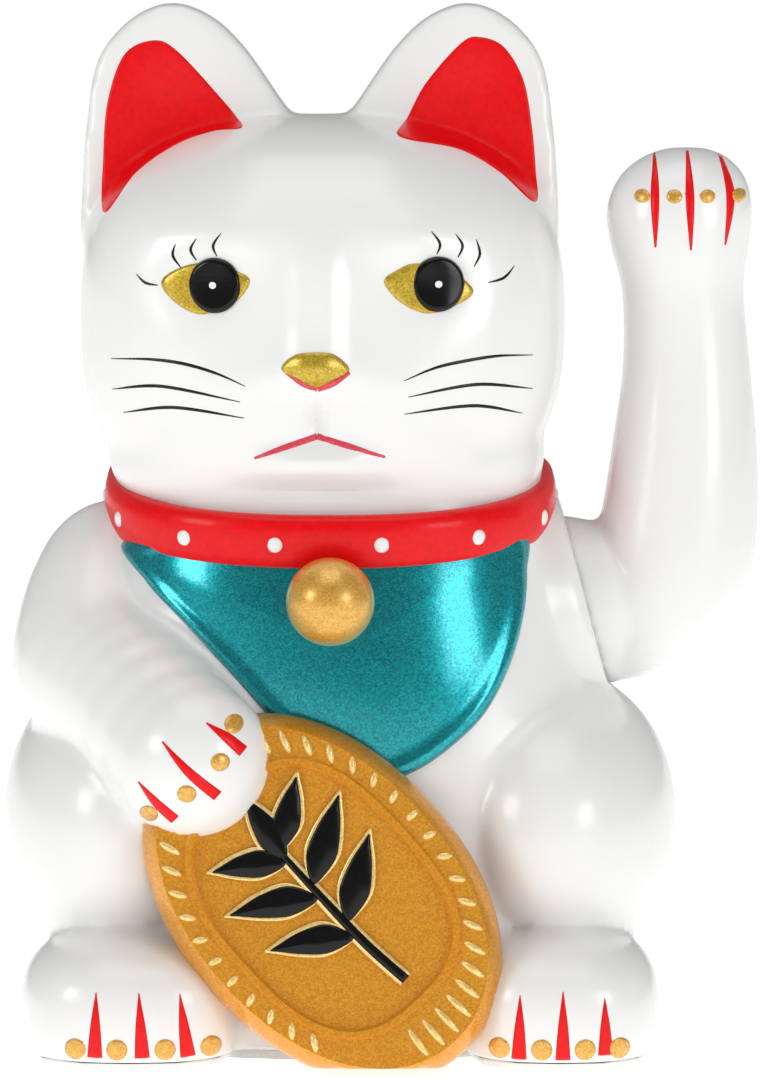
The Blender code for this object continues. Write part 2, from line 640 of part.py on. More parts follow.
def base_plate():
    """A stepped plate that closes the body, with the battery compartment and two posts moulded on."""
    far = 100 * MM
    plate = body_solid("base_plate", PLATE_INSET)
    plate.data.materials[0] = material("grey_abs")
    combine(plate, "INTERSECT", box((-far, -far, SHELL_FLOOR), (far, far, SHELL_FLOOR + PLATE_FLANGE)))
    plate.data.transform(Matrix.Translation((0, 0, -SHELL_FLOOR)))
    step = body_solid("step", BODY_WALL + GAP)
    combine(step, "INTERSECT", box((-far, -far, PLATE_FLANGE / 2), (far, far, PLATE_TOP)))
    half_x, half_y = BOX_HALF
    y = CELL_YZ[0]
    out_x, out_y = half_x + BOX_WALL, half_y + BOX_WALL
    walls = box((BOX_X - out_x, y - out_y, MM), (BOX_X + out_x, y + out_y, BOX_TOP + BOX_WALL))
    posts = [upright_rod(place, MM, POST_TOP, BOSS_RADIUS) for place in FRAME_SCREWS]
    combine(plate, "UNION", take(step), walls, *posts)

    under, tongue, top = DOOR_LEVELS
    wide = DOOR_HALF + DOOR_TONGUE
    front = DOOR_FRONT - GAP
    cuts = [
        box((BOX_X - half_x, y - half_y, -MM), (BOX_X + half_x, y + half_y, BOX_TOP)),
        box((BOX_X - DOOR_HALF - GAP, front, -MM), (BOX_X + DOOR_HALF + GAP, far, tongue)),
        box((BOX_X - wide - GAP, front, tongue - GAP), (BOX_X + wide + GAP, far, top + GAP)),
    ]
    for place in BASE_SCREWS:
        cuts.append(upright_rod(place, -MM, 10 * MM, SCREW_HOLE))
        cuts.append(upright_rod(place, -MM, HEAD_THICK + 2 * GAP, HEAD_RADIUS + GAP))
    cuts += [upright_rod(place, 2 * MM, 12 * MM, SCREW_HOLE) for place in FRAME_SCREWS]
    slot = SWITCH_SLOT / 2
    x, y = SWITCH_CENTRE.xy
    cuts.append(box((x - slot.x, y - slot.y, -MM), (x + slot.x, y + slot.y, PLATE_TOP + MM)))
    combine(plate, "DIFFERENCE", *cuts)


def upright_rod(place, low, high, radius):
    """A cylinder standing at an (x, y) place in millimetres."""
    x, y = place
    return rod("Z", (x * MM, y * MM, (low + high) / 2), radius, high - low, 16)


def battery_door():
    """The sliding cover, cut to the plate's own outline at the rear."""
    under, tongue, top = DOOR_LEVELS
    far = 100 * MM
    door = body_solid("battery_door", PLATE_INSET)
    door.data.materials[0] = material("grey_abs")
    door.data.transform(Matrix.Translation((0, 0, -SHELL_FLOOR)))
    panel = add_object("panel", box((BOX_X - DOOR_HALF, DOOR_FRONT, under), (BOX_X + DOOR_HALF, far, top)))
    wide = DOOR_HALF + DOOR_TONGUE
    combine(panel, "UNION", box((BOX_X - wide, DOOR_FRONT, tongue), (BOX_X + wide, far, top)))
    combine(door, "INTERSECT", take(panel))
    grip = rod("X", (BOX_X, GRIP_Y, under + GRIP_DEPTH - GRIP_RADIUS), GRIP_RADIUS, GRIP_LENGTH, 20)
    combine(door, "DIFFERENCE", grip)


def cell():
    y, z = CELL_YZ
    start, end = CELL_BODY
    nub_radius, nub_length = CELL_NUB
    soft = 0.6 * MM
    profile = [
        (0, start), (CELL_RADIUS - soft, start), (CELL_RADIUS, start + soft), (CELL_RADIUS, end - soft),
        (CELL_RADIUS - soft, end), (nub_radius, end), (nub_radius, end + nub_length), (0, end + nub_length),
    ]
    add_object("battery_cell", turned("X", (0, y, z), profile), "cell_jacket")


def contacts():
    """The sprung contact behind the cell and the flat one at its nub."""
    y, z = CELL_YZ
    half_x, half_y = BOX_HALF
    plate_x = BOX_X + half_x - GAP
    low = (plate_x - CONTACT_THICK, y - half_y + 1.5 * MM, z - 5 * MM)
    add_object("contact_plate", box(low, (plate_x, y + half_y - 1.5 * MM, z + 5 * MM)), "brass")
    first = BOX_X - half_x + GAP + SPRING_WIRE
    last = CELL_BODY[0] - GAP - SPRING_WIRE
    turns = []
    steps = int(10 * SPRING_TURNS)
    for step in range(steps + 1):
        share = step / steps
        angle = math.tau * SPRING_TURNS * share
        radius = SPRING_RADIUS * (1 - 0.35 * share)
        spot = (first + (last - first) * share, y + radius * math.cos(angle), z + radius * math.sin(angle))
        turns.append([c / MM for c in spot])
    wire("contact_spring", turns, SPRING_WIRE, "steel", smooth=False)


def switch():
    low = SWITCH_CENTRE - SWITCH_BODY / 2
    add_object("switch_body", box(low, SWITCH_CENTRE + SWITCH_BODY / 2), "black_abs")
    top = low.z - GAP
    half = SWITCH_KNOB / 2
    x, y = SWITCH_CENTRE.x - 1.5 * MM, SWITCH_CENTRE.y
    knob = box((x - half.x, y - half.y, top - SWITCH_KNOB.z), (x + half.x, y + half.y, top))
    add_object("switch_knob", knob, "black_abs")


def mechanism_frame():
    """A moulded U with ears at its foot, holes for the bushes, and two bars that stop the lever."""
    foot, half = UPRIGHT_HALF
    thick = UPRIGHT_THICK / 2
    shoulder_z = STOP_BAR_Z[1] + MM
    top_radius = 7 * MM
    arc = [math.radians(a) for a in range(0, 181, 20)]
    waist_low, waist_high = 30 * MM, 46 * MM
    outline = [(-foot, FRAME_FLOOR), (foot, FRAME_FLOOR), (foot, waist_low)]
    outline += [(half, waist_high), (half, shoulder_z)]
    outline += [(top_radius * math.cos(a), PIVOT.z + top_radius * math.sin(a)) for a in arc]
    outline += [(-half, shoulder_z), (-half, waist_high), (-foot, waist_low)]
    pieces = []
    for x in UPRIGHTS_X:
        bm = prism(outline, -thick, thick)
        bmesh.ops.rotate(bm, verts=bm.verts, matrix=Matrix.Rotation(math.radians(90), 3, "Z"))
        bmesh.ops.translate(bm, verts=bm.verts, vec=(x, 0, 0))
        pieces.append(bm)
    left, right = UPRIGHTS_X
    frame = add_object("mechanism_frame", pieces[0], "white_abs")
    web = box((left, -foot + MM, FRAME_FLOOR + GAP), (right, foot - MM, BOARD_LEVELS[0] - GAP))
    (near, far), (low, high) = STOP_BAR_Y, STOP_BAR_Z
    bars = [box((left, -far, low), (right, -near, high)), box((left, near, low), (right, far, high))]
    (ear_left, _), (ear_right, _) = FRAME_SCREWS
    low, high = EAR_LEVELS
    reach = 4 * MM
    ears = [
        box((ear_left * MM - reach, -reach, low), (left, reach, high)),
        box((right, -reach, low), (ear_right * MM + reach, reach, high)),
    ]
    combine(frame, "UNION", pieces[1], web, *bars, *ears)
    holes = [rod("X", (x, 0, PIVOT.z), BUSH_RADIUS + GAP, 4 * MM) for x in UPRIGHTS_X]
    holes += [rod("Z", (x * MM, y * MM, low), SCREW_HOLE, 8 * MM, 16) for x, y in FRAME_SCREWS]
    combine(frame, "DIFFERENCE", *holes)


def bushes():
    """Two flanged bushes, each pushed into its upright from the inside."""
    flange_radius, flange_thick = BUSH_FLANGE
    for name, x, inwards in (("inner", UPRIGHTS_X[0], 1), ("outer", UPRIGHTS_X[1], -1)):
        face = inwards * (UPRIGHT_THICK / 2 + GAP)
        far = face + inwards * flange_thick
        profile = [
            (BORE_RADIUS, -face), (BUSH_RADIUS, -face), (BUSH_RADIUS, face), (flange_radius, face),
            (flange_radius, far), (BORE_RADIUS, far),
        ]
        bm = turned("X", (x, 0, PIVOT.z), profile, closed=True)
        add_object(f"{name}_bush", bm, "brass")


def shaft():
    start, end = SHAFT_ENDS
    centre = Vector(((start + end) / 2, 0, PIVOT.z))
    swinging(add_object("pivot_shaft", rod("X", centre, SHAFT_RADIUS, end - start), "steel"))
    clip_x = UPRIGHTS_X[0] - UPRIGHT_THICK / 2 - 2 * GAP - 0.4 * MM
    clip = tube("X", Vector((clip_x, 0, PIVOT.z)), 3.4 * MM, BORE_RADIUS, 0.8 * MM)
    combine(add_object("shaft_clip", clip, "steel"), "DIFFERENCE", clip_mouth(clip_x))
    swinging(bpy.data.objects["shaft_clip"])


def clip_mouth(x):
    """The open side that lets the clip be pushed on to the shaft."""
    return box((x - MM, -1.2 * MM, PIVOT.z), (x + MM, 1.2 * MM, PIVOT.z + 6 * MM))


def pendulum():
    """Lever, counterweight and magnet, hanging between the uprights."""
    thick, wide = LEVER_HALF
    radius, length = LEVER_BOSS
    low = WEIGHT_TOP + GAP
    blade = box((PENDULUM_X - thick, -wide, low), (PENDULUM_X + thick, wide, PIVOT.z))
    lever = add_object("pendulum_lever", blade, "black_abs")
    combine(lever, "UNION", rod("X", Vector((PENDULUM_X, 0, PIVOT.z)), radius, length))
    combine(lever, "DIFFERENCE", rod("X", Vector((PENDULUM_X, 0, PIVOT.z)), BORE_RADIUS, 2 * length))
    swinging(lever)
    centre = Vector((PENDULUM_X, 0, WEIGHT_TOP - WEIGHT_SIZE.z / 2))
    weight = box(centre - WEIGHT_SIZE / 2, centre + WEIGHT_SIZE / 2)
    bmesh.ops.bevel(
        weight, geom=weight.edges, offset=MM, segments=1, profile=0.5, affect="EDGES", material=-1
    )
    swinging(add_object("counterweight", weight, "steel"))
    magnet_z = WEIGHT_TOP - WEIGHT_SIZE.z - GAP - MAGNET_THICK / 2
    magnet = rod("Z", (PENDULUM_X, 0, magnet_z), MAGNET_RADIUS, MAGNET_THICK)
    swinging(add_object("drive_magnet", magnet, "steel"))


def drive_board():
    """The circuit board across the frame's foot, with the coil under the magnet."""
    low, top = BOARD_LEVELS
    edge = UPRIGHT_THICK / 2 + GAP
    left, right = UPRIGHTS_X[0] + edge, UPRIGHTS_X[1] - edge
    reach = UPRIGHT_HALF[0]
    add_object("circuit_board", box((left, -reach, low), (right, reach, top)), "board_green")
    floor = top + GAP
    cheek = 1.2 * MM
    core = 3.0 * MM
    height = COIL_TOP - floor
    profile = [
        (1.5 * MM, 0), (COIL_RADIUS, 0), (COIL_RADIUS, cheek), (core, cheek),
        (core, height - cheek), (COIL_RADIUS, height - cheek), (COIL_RADIUS, height), (1.5 * MM, height),
    ]
    add_object("coil_bobbin", turned("Z", (PENDULUM_X, 0, floor), profile, closed=True), "white_abs")
    winding = height - 2 * cheek - 2 * GAP
    centre = Vector((PENDULUM_X, 0, floor + height / 2))
    add_object("coil_winding", tube("Z", centre, COIL_RADIUS - 0.5 * MM, core + GAP, winding), "copper")
    can = rod("Z", (PENDULUM_X, 9.6 * MM, floor + 4 * MM), 2.5 * MM, 8 * MM, 20)
    add_object("capacitor", can, "black_abs")
    moulded = rod("Z", (PENDULUM_X, -9.6 * MM, floor + 2.4 * MM), 2.4 * MM, 4.8 * MM, 16)
    flat_side = box((PENDULUM_X - 5 * MM, -20 * MM, 0), (PENDULUM_X + 5 * MM, -10.8 * MM, 20 * MM))
    combine(add_object("transistor", moulded, "black_abs"), "DIFFERENCE", flat_side)


def screws():
    """Self-tapping screws: four up into the body's bosses, two down into the plate's posts."""
    reach = 2 * HEAD_RADIUS
    half, depth = HEAD_SLOT
    for number, place in enumerate(BASE_SCREWS, 1):
        x, y = (c * MM for c in place)
        profile = [(0, 0), (HEAD_RADIUS, 0), (HEAD_RADIUS, HEAD_THICK), (SCREW_RADIUS, HEAD_THICK)]
        profile += [(SCREW_RADIUS, BASE_SCREW_LENGTH - MM), (0, BASE_SCREW_LENGTH)]
        screw = add_object(f"base_screw_{number}", turned("Z", (x, y, GAP), profile, 16), "steel")
        combine(screw, "DIFFERENCE", box((x - reach, y - half, 0), (x + reach, y + half, GAP + depth)))
    top = EAR_LEVELS[1] + GAP
    for number, (x, y) in enumerate(FRAME_SCREWS, 1):
        profile = [(0, HEAD_THICK), (HEAD_RADIUS, HEAD_THICK), (HEAD_RADIUS, 0), (SCREW_RADIUS, 0)]
        profile += [(SCREW_RADIUS, MM - FRAME_SCREW_LENGTH), (0, -FRAME_SCREW_LENGTH)]
        bm = turned("Z", (x * MM, y * MM, top), profile[::-1], 16)
        add_object(f"frame_screw_{number}", bm, "steel")


def wires():
    """The three leads inside: cell to board, cell to switch, and switch to board."""
    wire("positive_wire", POSITIVE_ROUTE, WIRE_RADIUS, "red_wire")
    wire("negative_wire", NEGATIVE_ROUTE, WIRE_RADIUS, "black_wire")
    wire("switch_wire", SWITCH_ROUTE, WIRE_RADIUS, "black_wire")


def build():
    clear_scene()
    pivot = bpy.data.objects.new("arm_pivot", None)
    pivot.location = PIVOT
    bpy.context.scene.collection.objects.link(pivot)
    body_shells()
    collar()
    bell()
    koban()
    arm_shells()
    arm_hub()
    base_plate()
    battery_door()
    cell()
    contacts()
    switch()
    mechanism_frame()
    bushes()
    shaft()
    pendulum()
    drive_board()
    screws()
    wires()


build()
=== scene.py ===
"""Looks of the beckoning cat figurine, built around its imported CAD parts.

Metres, +Z up, the cat faces -Y and its raised arm is on the +X side. The sections follow the order in
which the figurine is put together: base and works, sprayed body shells, painted face, chest, coin,
raised arm, and last the studio.
"""

import json
import math

import bmesh
import bpy
import numpy as np
from mathutils import Matrix, Vector
from mathutils.bvhtree import BVHTree

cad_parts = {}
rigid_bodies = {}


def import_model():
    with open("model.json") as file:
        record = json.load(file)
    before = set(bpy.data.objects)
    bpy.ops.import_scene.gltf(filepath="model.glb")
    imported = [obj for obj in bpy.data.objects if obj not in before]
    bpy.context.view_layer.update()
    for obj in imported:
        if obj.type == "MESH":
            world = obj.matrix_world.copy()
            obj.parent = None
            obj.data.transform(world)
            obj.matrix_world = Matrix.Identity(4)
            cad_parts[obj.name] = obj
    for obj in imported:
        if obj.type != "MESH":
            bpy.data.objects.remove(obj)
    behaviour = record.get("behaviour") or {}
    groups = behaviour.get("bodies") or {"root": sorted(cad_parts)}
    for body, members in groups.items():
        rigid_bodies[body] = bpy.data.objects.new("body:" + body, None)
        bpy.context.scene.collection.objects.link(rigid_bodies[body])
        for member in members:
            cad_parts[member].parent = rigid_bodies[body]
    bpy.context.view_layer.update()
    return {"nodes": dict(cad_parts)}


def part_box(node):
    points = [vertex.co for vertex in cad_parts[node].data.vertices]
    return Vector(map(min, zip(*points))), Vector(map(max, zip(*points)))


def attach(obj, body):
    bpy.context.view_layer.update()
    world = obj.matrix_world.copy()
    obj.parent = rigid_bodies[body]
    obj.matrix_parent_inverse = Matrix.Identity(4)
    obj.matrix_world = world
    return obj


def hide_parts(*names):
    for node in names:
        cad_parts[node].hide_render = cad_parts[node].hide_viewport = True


MM = 0.001

for thing in list(bpy.data.objects):
    bpy.data.objects.remove(thing, do_unlink=True)
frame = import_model()
nodes = frame["nodes"]


# Unpainted mouldings: base plate, battery door, mechanism frame, bobbin and arm hub.
# Injection-moulded ABS straight from a spark-eroded tool, so it is satin with a fine even grain.


def linear(hex_colour):
    """The scene-linear RGBA of an sRGB colour written as six hex digits."""
    shares = [int(hex_colour[k:k + 2], 16) / 255 for k in (0, 2, 4)]
    return (*[c / 12.92 if c <= 0.04045 else ((c + 0.055) / 1.055) ** 2.4 for c in shares], 1.0)


def finish_of(name, colour, roughness, metallic=0.0, sockets=None):
    """A new material and its shader. Sockets holds values for the shader's other sockets, by name."""
    made = bpy.data.materials.new(name)
    made.use_nodes = True
    shader = made.node_tree.nodes["Principled BSDF"]
    values = {"Base Color": linear(colour), "Roughness": roughness, "Metallic": metallic}
    values.update(sockets or {})
    for socket, value in values.items():
        shader.inputs[socket].default_value = value
    return made, shader


def add_node(finish, kind, settings=None, links=None):
    """Adds a node. Settings go on its properties or inputs, and links join other nodes' outputs to its
    inputs. An input is given by its name, or by its number where several share a name."""
    tree = finish.node_tree
    node = tree.nodes.new(kind)
    for key, value in (settings or {}).items():
        if isinstance(key, int) or key in node.inputs:
            node.inputs[key].default_value = value
        else:
            setattr(node, key, value)
    for key, source in (links or {}).items():
        tree.links.new(source, node.inputs[key])
    return node


def grain(finish, shader, spacing, depth, detail=2.0):
    """Fine random relief: spacing between grains and their depth, both in metres."""
    place = add_node(finish, "ShaderNodeTexCoord")
    pattern = {"Scale": 1.0 / spacing, "Detail": detail}
    noise = add_node(finish, "ShaderNodeTexNoise", pattern, {"Vector": place.outputs["Object"]})
    relief = {"Strength": 1.0, "Distance": depth}
    bump = add_node(finish, "ShaderNodeBump", relief, {"Height": noise.outputs["Fac"]})
    finish.node_tree.links.new(bump.outputs["Normal"], shader.inputs["Normal"])
    return noise


def mottle(finish, shader, noise, dark, light, socket="Base Color"):
    """Lets a noise pattern wander between two colours, or two grey levels on a value socket."""
    ramp = add_node(finish, "ShaderNodeValToRGB", None, {"Fac": noise.outputs["Fac"]})
    ramp.color_ramp.elements[0].position = 0.3
    ramp.color_ramp.elements[0].color = dark
    ramp.color_ramp.elements[1].position = 0.7
    ramp.color_ramp.elements[1].color = light
    finish.node_tree.links.new(ramp.outputs["Color"], shader.inputs[socket])


def grained(name, colours, roughness, spacing, depth, sockets=None):
    """A finish over a fine grain. Its colours are the middle shade and the two it wanders between."""
    middle, dark, light = colours
    made, shader = finish_of(name, middle, roughness, sockets=sockets)
    mottle(made, shader, grain(made, shader, spacing, depth), linear(dark), linear(light))
    return made


def dress(finish, *names):
    """Gives CAD nodes a finish in place of their plain one."""
    for name in names:
        mesh = nodes[name].data
        mesh.materials.clear()
        mesh.materials.append(finish)


moulded_white = grained("moulded_white_abs", ("E4E3DE", "DEDDD7", "E9E8E4"), 0.46, 0.5 * MM, 0.02 * MM)
dress(moulded_white, "base_plate", "battery_door", "mechanism_frame", "coil_bobbin", "arm_hub")


# Black moulded parts: slide switch and its knob, pendulum lever, transistor and capacitor sleeve.
# Plain ABS and epoxy, satin and slightly dusty on the flats.
moulded_black = grained("moulded_black", ("1B1B1C", "161617", "232324"), 0.42, 0.4 * MM, 0.015 * MM)
dress(moulded_black, "switch_body", "switch_knob", "pendulum_lever", "transistor", "capacitor")


# Metal parts: drawn steel shaft, clip, spring and screws, zinc-plated weight, nickel-plated magnet and
# turned brass bushes, pressed in or screwed down. Their gloss wanders over a fine grain, and most of all
# on the zinc, whose plating is a little blotchy.


def metal(name, colour, roughness, spacing, depth):
    """Bare metal whose gloss wanders a little over a fine grain; spacing and depth in metres."""
    made, shader = finish_of(name, colour, roughness, metallic=1.0)
    noise = grain(made, shader, spacing, depth, detail=4.0)
    wander = 0.08
    low, high = roughness - wander, roughness + wander
    mottle(made, shader, noise, (low, low, low, 1), (high, high, high, 1), "Roughness")
    return made


dress(
    metal("bright_drawn_steel", "C9CBCD", 0.28, 0.3 * MM, 0.004 * MM),
    "pivot_shaft", "shaft_clip", "contact_spring", "frame_screw_1", "frame_screw_2",
    *[f"base_screw_{number}" for number in range(1, 5)],
)
dress(metal("zinc_plated_steel", "B9BEC2", 0.38, 1.5 * MM, 0.01 * MM), "counterweight")
dress(metal("nickel_plated_magnet", "D0CCC2", 0.22, 0.8 * MM, 0.003 * MM), "drive_magnet")
dress(
    metal("turned_brass", "D9B45F", 0.26, 0.4 * MM, 0.004 * MM),
    "inner_bush", "outer_bush", "contact_plate",
)


# Coil winding: fine enamelled copper wire in close layers.
# The wire is drawn 0.25 mm apart, coarser than real, so that its turns still show.
WIRE_SPACING = 0.25 * MM
WIRE_RELIEF = 0.08 * MM
copper, shader = finish_of("enamelled_copper_wire", "B4552B", 0.3, metallic=1.0)
place = add_node(copper, "ShaderNodeTexCoord")
turns = add_node(
    copper, "ShaderNodeTexWave", {"bands_direction": "Z", "Scale": 0.5 / WIRE_SPACING / math.pi / 2},
    {"Vector": place.outputs["Object"]},
)
bump = add_node(copper, "ShaderNodeBump", {"Distance": WIRE_RELIEF}, {"Height": turns.outputs["Fac"]})
copper.node_tree.links.new(bump.outputs["Normal"], shader.inputs["Normal"])
dress(copper, "coil_winding")


# Circuit board: glass-epoxy under a green solder mask, cut to shape and screwed into the base.
# The mask is a thin glossy lacquer, and the weave below it shows faintly through.
board = grained(
    "green_solder_mask", ("0F5A2C", "0C4A24", "146A35"), 0.32, 0.7 * MM, 0.01 * MM, {"Coat Weight": 0.4}
)
dress(board, "circuit_board")


# Battery cell: a steel can in a plain printed jacket with a copper-coloured band at its nub end.
# The jacket is a shrunk film over metal, so it shines with a dark metallic sheen.
BAND_WIDTH = 15 * MM
jacket, shader = finish_of("printed_cell_jacket", "20242C", 0.3, metallic=0.6)
place = add_node(jacket, "ShaderNodeTexCoord")
along = add_node(jacket, "ShaderNodeSeparateXYZ", None, {"Vector": place.outputs["Object"]})
band_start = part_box("battery_cell")[1].x - BAND_WIDTH
past_start = {"operation": "GREATER_THAN", 1: band_start}
band = add_node(jacket, "ShaderNodeMath", past_start, {0: along.outputs["X"]})
# A Mix node's inputs 6 and 7 are its two colours, and its output 2 is the mixed one
shades = {"data_type": "RGBA", 6: linear("23262D"), 7: linear("B87A3C")}
banded = add_node(jacket, "ShaderNodeMix", shades, {0: band.outputs["Value"]})
jacket.node_tree.links.new(banded.outputs[2], shader.inputs["Base Color"])
dress(jacket, "battery_cell")


# Leads: stranded wire in soft extruded PVC, soldered at both ends, red from the cell's positive end and
# black elsewhere. The PVC is satin, with a faint unevenness from the strands below it.
for name, colours, wires in (
    ("red_pvc", ("B01318", "A01014", "C0181D"), ["positive_wire"]),
    ("black_pvc", ("17171A", "131316", "202024"), ["negative_wire", "switch_wire"]),
):
    dress(grained(name, colours, 0.45, 0.6 * MM, 0.01 * MM), *wires)


# Body shells: front and rear halves of thin ABS, glued along a line round the silhouette and sprayed
# satin-gloss white. The cat's masses are blown up from simple rounded forms that melt into each other.
WALL = 2.2 * MM
PARTING = 0.15 * MM  # from the middle plane to each half
SHELL_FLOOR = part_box("rear_shell")[0].z
PIVOT = Vector((46.5, 0.0, 84.0)) * MM  # where the raised arm's shaft leaves the body's side
SIDE_SLOPE = math.tan(math.radians(14.7))  # lean of the body's side there
RECESS_RADIUS = 17.7 * MM  # of the round seat that the arm's shoulder turns in
RECESS_LENGTH = 40.0 * MM
LIP_RADII = (24.5 * MM, 20.5 * MM)  # of the lip round the shoulder, at its foot and at its top
LIP_TOP, LIP_FOOT = 3.0 * MM, -12.0 * MM  # along X from the flat that the raised arm swings past
VOXEL = 1.05 * MM
SOFTENING = 14  # rounds of smoothing that melt the masses together

# Torso sections from the floor up: height, middle x, half width, front y, rear y (mm)
TORSO = [
    (-4.0, 2.5, 48.6, -40.8, 41.6), (20.0, 2.3, 53.0, -43.0, 45.5), (45.0, 2.0, 54.0, -42.0, 46.0),
    (68.0, 1.2, 50.5, -40.0, 43.0), (84.0, 0.5, 46.3, -38.0, 39.5), (99.0, 0.0, 42.6, -36.0, 36.0),
    (108.0, -0.2, 41.0, -35.0, 34.0), (118.0, -1.2, 39.5, -33.0, 32.0),
]
# Rounded masses: centre (mm), half sizes (mm), squareness
MASSES = {
    "head": ((-1.65, -2.0, 139.5), (46.8, 37.0, 39.0), 2.7),
    "jaw": ((-0.9, -3.0, 113.5), (42.2, 33.0, 14.0), 2.6),
    "cheeks": ((-2.3, -18.0, 121.0), (36.0, 21.0, 18.0), 2.3),
    "thigh_left": ((-39.5, -6.0, 43.0), (24.0, 40.0, 29.0), 2.1),
    "thigh_right": ((42.5, -6.0, 42.0), (24.5, 40.0, 29.0), 2.1),
    "foot_left": ((-38.0, -33.0, 9.5), (21.5, 24.0, 15.5), 2.6),
    "foot_right": ((43.5, -33.0, 9.5), (19.5, 24.0, 15.5), 2.6),
    "tail_root": ((20.0, 42.0, 22.0), (8.0, 8.0, 9.0), 2.0),
    "tail_tip": ((25.0, 43.0, 32.0), (6.5, 7.0, 9.0), 2.0),
}
# The lowered arm from shoulder to paw: middle x, y, z, then half sizes (mm)
LOWERED_ARM = [
    (-41.5, -4.0, 84.0, 17.0, 17.0, 20.0), (-43.6, -10.0, 78.5, 17.2, 17.0, 20.5),
    (-44.2, -19.0, 73.0, 16.6, 15.6, 17.0), (-36.0, -32.0, 67.5, 15.4, 14.0, 15.0),
    (-26.0, -46.5, 58.6, 15.0, 13.5, 15.2),
]
# The +X ear's outline from its inner foot over the tip to its outer foot (mm); the other ear mirrors it
EAR = [
    (4.0, 171.0), (5.3, 177.5), (8.7, 183.0), (13.5, 190.0), (18.1, 195.2), (23.2, 198.6),
    (29.2, 200.0), (36.5, 196.9), (42.8, 189.2), (44.9, 177.0), (45.9, 164.0), (45.6, 153.0),
    (40.0, 146.0), (22.0, 150.0),
]
EAR_MIDDLE_X = -2.2
EAR_DEPTH = (-10.0, 8.0)
EAR_THINS_FROM, EAR_THINS_OVER, EAR_THINNING = 165.0, 35.0, 0.45


def smooth_row(rows, place):
    """The row at a fractional place on a smooth curve through the given rows."""
    first = min(int(place), len(rows) - 2)
    t = place - first
    four = [rows[min(max(first + k, 0), len(rows) - 1)] for k in (-1, 0, 1, 2)]
    return [
        b + 0.5 * t * (c - a + t * (2 * a - 5 * b + 4 * c - d + t * (3 * (b - c) + d - a)))
        for a, b, c, d in zip(*four)
    ]


def smooth_rows(rows, count):
    """That many rows, evenly spread on a smooth curve through the given rows."""
    return [smooth_row(rows, step * (len(rows) - 1) / (count - 1)) for step in range(count)]


def rounded(bm, centre, half, power, around=64):
    """An ellipsoid, squarer as power rises above 2, in millimetres."""
    levels = around * 5 // 8
    for vert in bmesh.ops.create_uvsphere(bm, u_segments=around, v_segments=levels, radius=1.0)["verts"]:
        stretch = sum(abs(c) ** power for c in vert.co) ** (-1.0 / power)
        vert.co = Vector([(c * stretch * h + m) * MM for c, h, m in zip(vert.co, half, centre)])


def loft(bm, rows, around, power):
    """A closed skin over rows of height, middle x, half width, front y, rear y, in millimetres."""
    previous = None
    for z, middle, half, front, rear in rows:
        ring = bmesh.ops.create_circle(bm, segments=around, radius=1.0)["verts"]
        for vert in ring:
            spot = vert.co.copy()
            stretch = (abs(spot.x) ** power + abs(spot.y) ** power) ** (-1.0 / power)
            depth = -front if spot.y < 0 else rear
            vert.co = Vector((middle + spot.x * stretch * half, spot.y * stretch * depth, z)) * MM
        edges = list({edge for vert in ring for edge in vert.link_edges})
        if previous:
            bmesh.ops.bridge_loops(bm, edges=previous + edges)
            edges = [e for e in edges if e.is_valid]
        else:
            bmesh.ops.contextual_create(bm, geom=edges)
        previous = edges
    bmesh.ops.contextual_create(bm, geom=previous)


def ear(bm, side):
    """A tall rounded ear that gets thinner towards its tip."""
    front, rear = EAR_DEPTH
    outline = smooth_rows(EAR, 40)
    face = bm.faces.new([bm.verts.new((EAR_MIDDLE_X + side * x, front, z)) for x, z in outline])
    pulled = bmesh.ops.extrude_face_region(bm, geom=[face])["geom"]
    moved = [v for v in pulled if isinstance(v, bmesh.types.BMVert)]
    bmesh.ops.translate(bm, verts=moved, vec=(0, rear - front, 0))
    for vert in list(face.verts) + moved:
        vert.co.y *= 1 - EAR_THINNING * max(0.0, (vert.co.z - EAR_THINS_FROM) / EAR_THINS_OVER)
        vert.co *= MM


def object_of(name, bm):
    """A helper object that holds a bmesh, for modifiers to work on."""
    mesh = bpy.data.meshes.new(name)
    bm.to_mesh(mesh)
    bm.free()
    made = bpy.data.objects.new(name, mesh)
    bpy.context.scene.collection.objects.link(made)
    return made


def along_x(bm, start, end, radii, sides=96):
    """A closed cylinder or cone about the arm's pivot axis, leaning with the body's side. Start and end
    are measured along X from the flat that the raised arm swings past."""
    middle = Matrix.Translation(PIVOT + Vector(((start + end) / 2, 0, 0)))
    turn = Matrix.Rotation(math.radians(90), 4, "Y")
    made = bmesh.ops.create_cone(
        bm, cap_ends=True, segments=sides, radius1=radii[0], radius2=radii[1], depth=end - start,
        matrix=middle @ turn,
    )
    for vert in made["verts"]:
        vert.co.x -= (vert.co.z - PIVOT.z) * SIDE_SLOPE


def skin_of(name, bm, voxel, smoothing, recess=None):
    """The mesh of one even skin, fused from overlapping closed forms, softened and cut by a recess."""
    bmesh.ops.recalc_face_normals(bm, faces=bm.faces)
    holder = object_of(name, bm)
    fuse = holder.modifiers.new("fuse", "REMESH")
    fuse.mode = "VOXEL"
    fuse.voxel_size = voxel
    soften = holder.modifiers.new("soften", "SMOOTH")
    soften.factor = 0.5
    soften.iterations = smoothing
    helpers = [holder]
    if recess:
        cutter = object_of(name + "_recess", recess)
        cut = holder.modifiers.new("recess", "BOOLEAN")
        cut.operation = "DIFFERENCE"
        cut.object = cutter
        helpers.append(cutter)
    graph = bpy.context.evaluated_depsgraph_get()
    made = bpy.data.meshes.new_from_object(holder.evaluated_get(graph))
    for helper in helpers:
        bpy.data.objects.remove(helper, do_unlink=True)
    return made


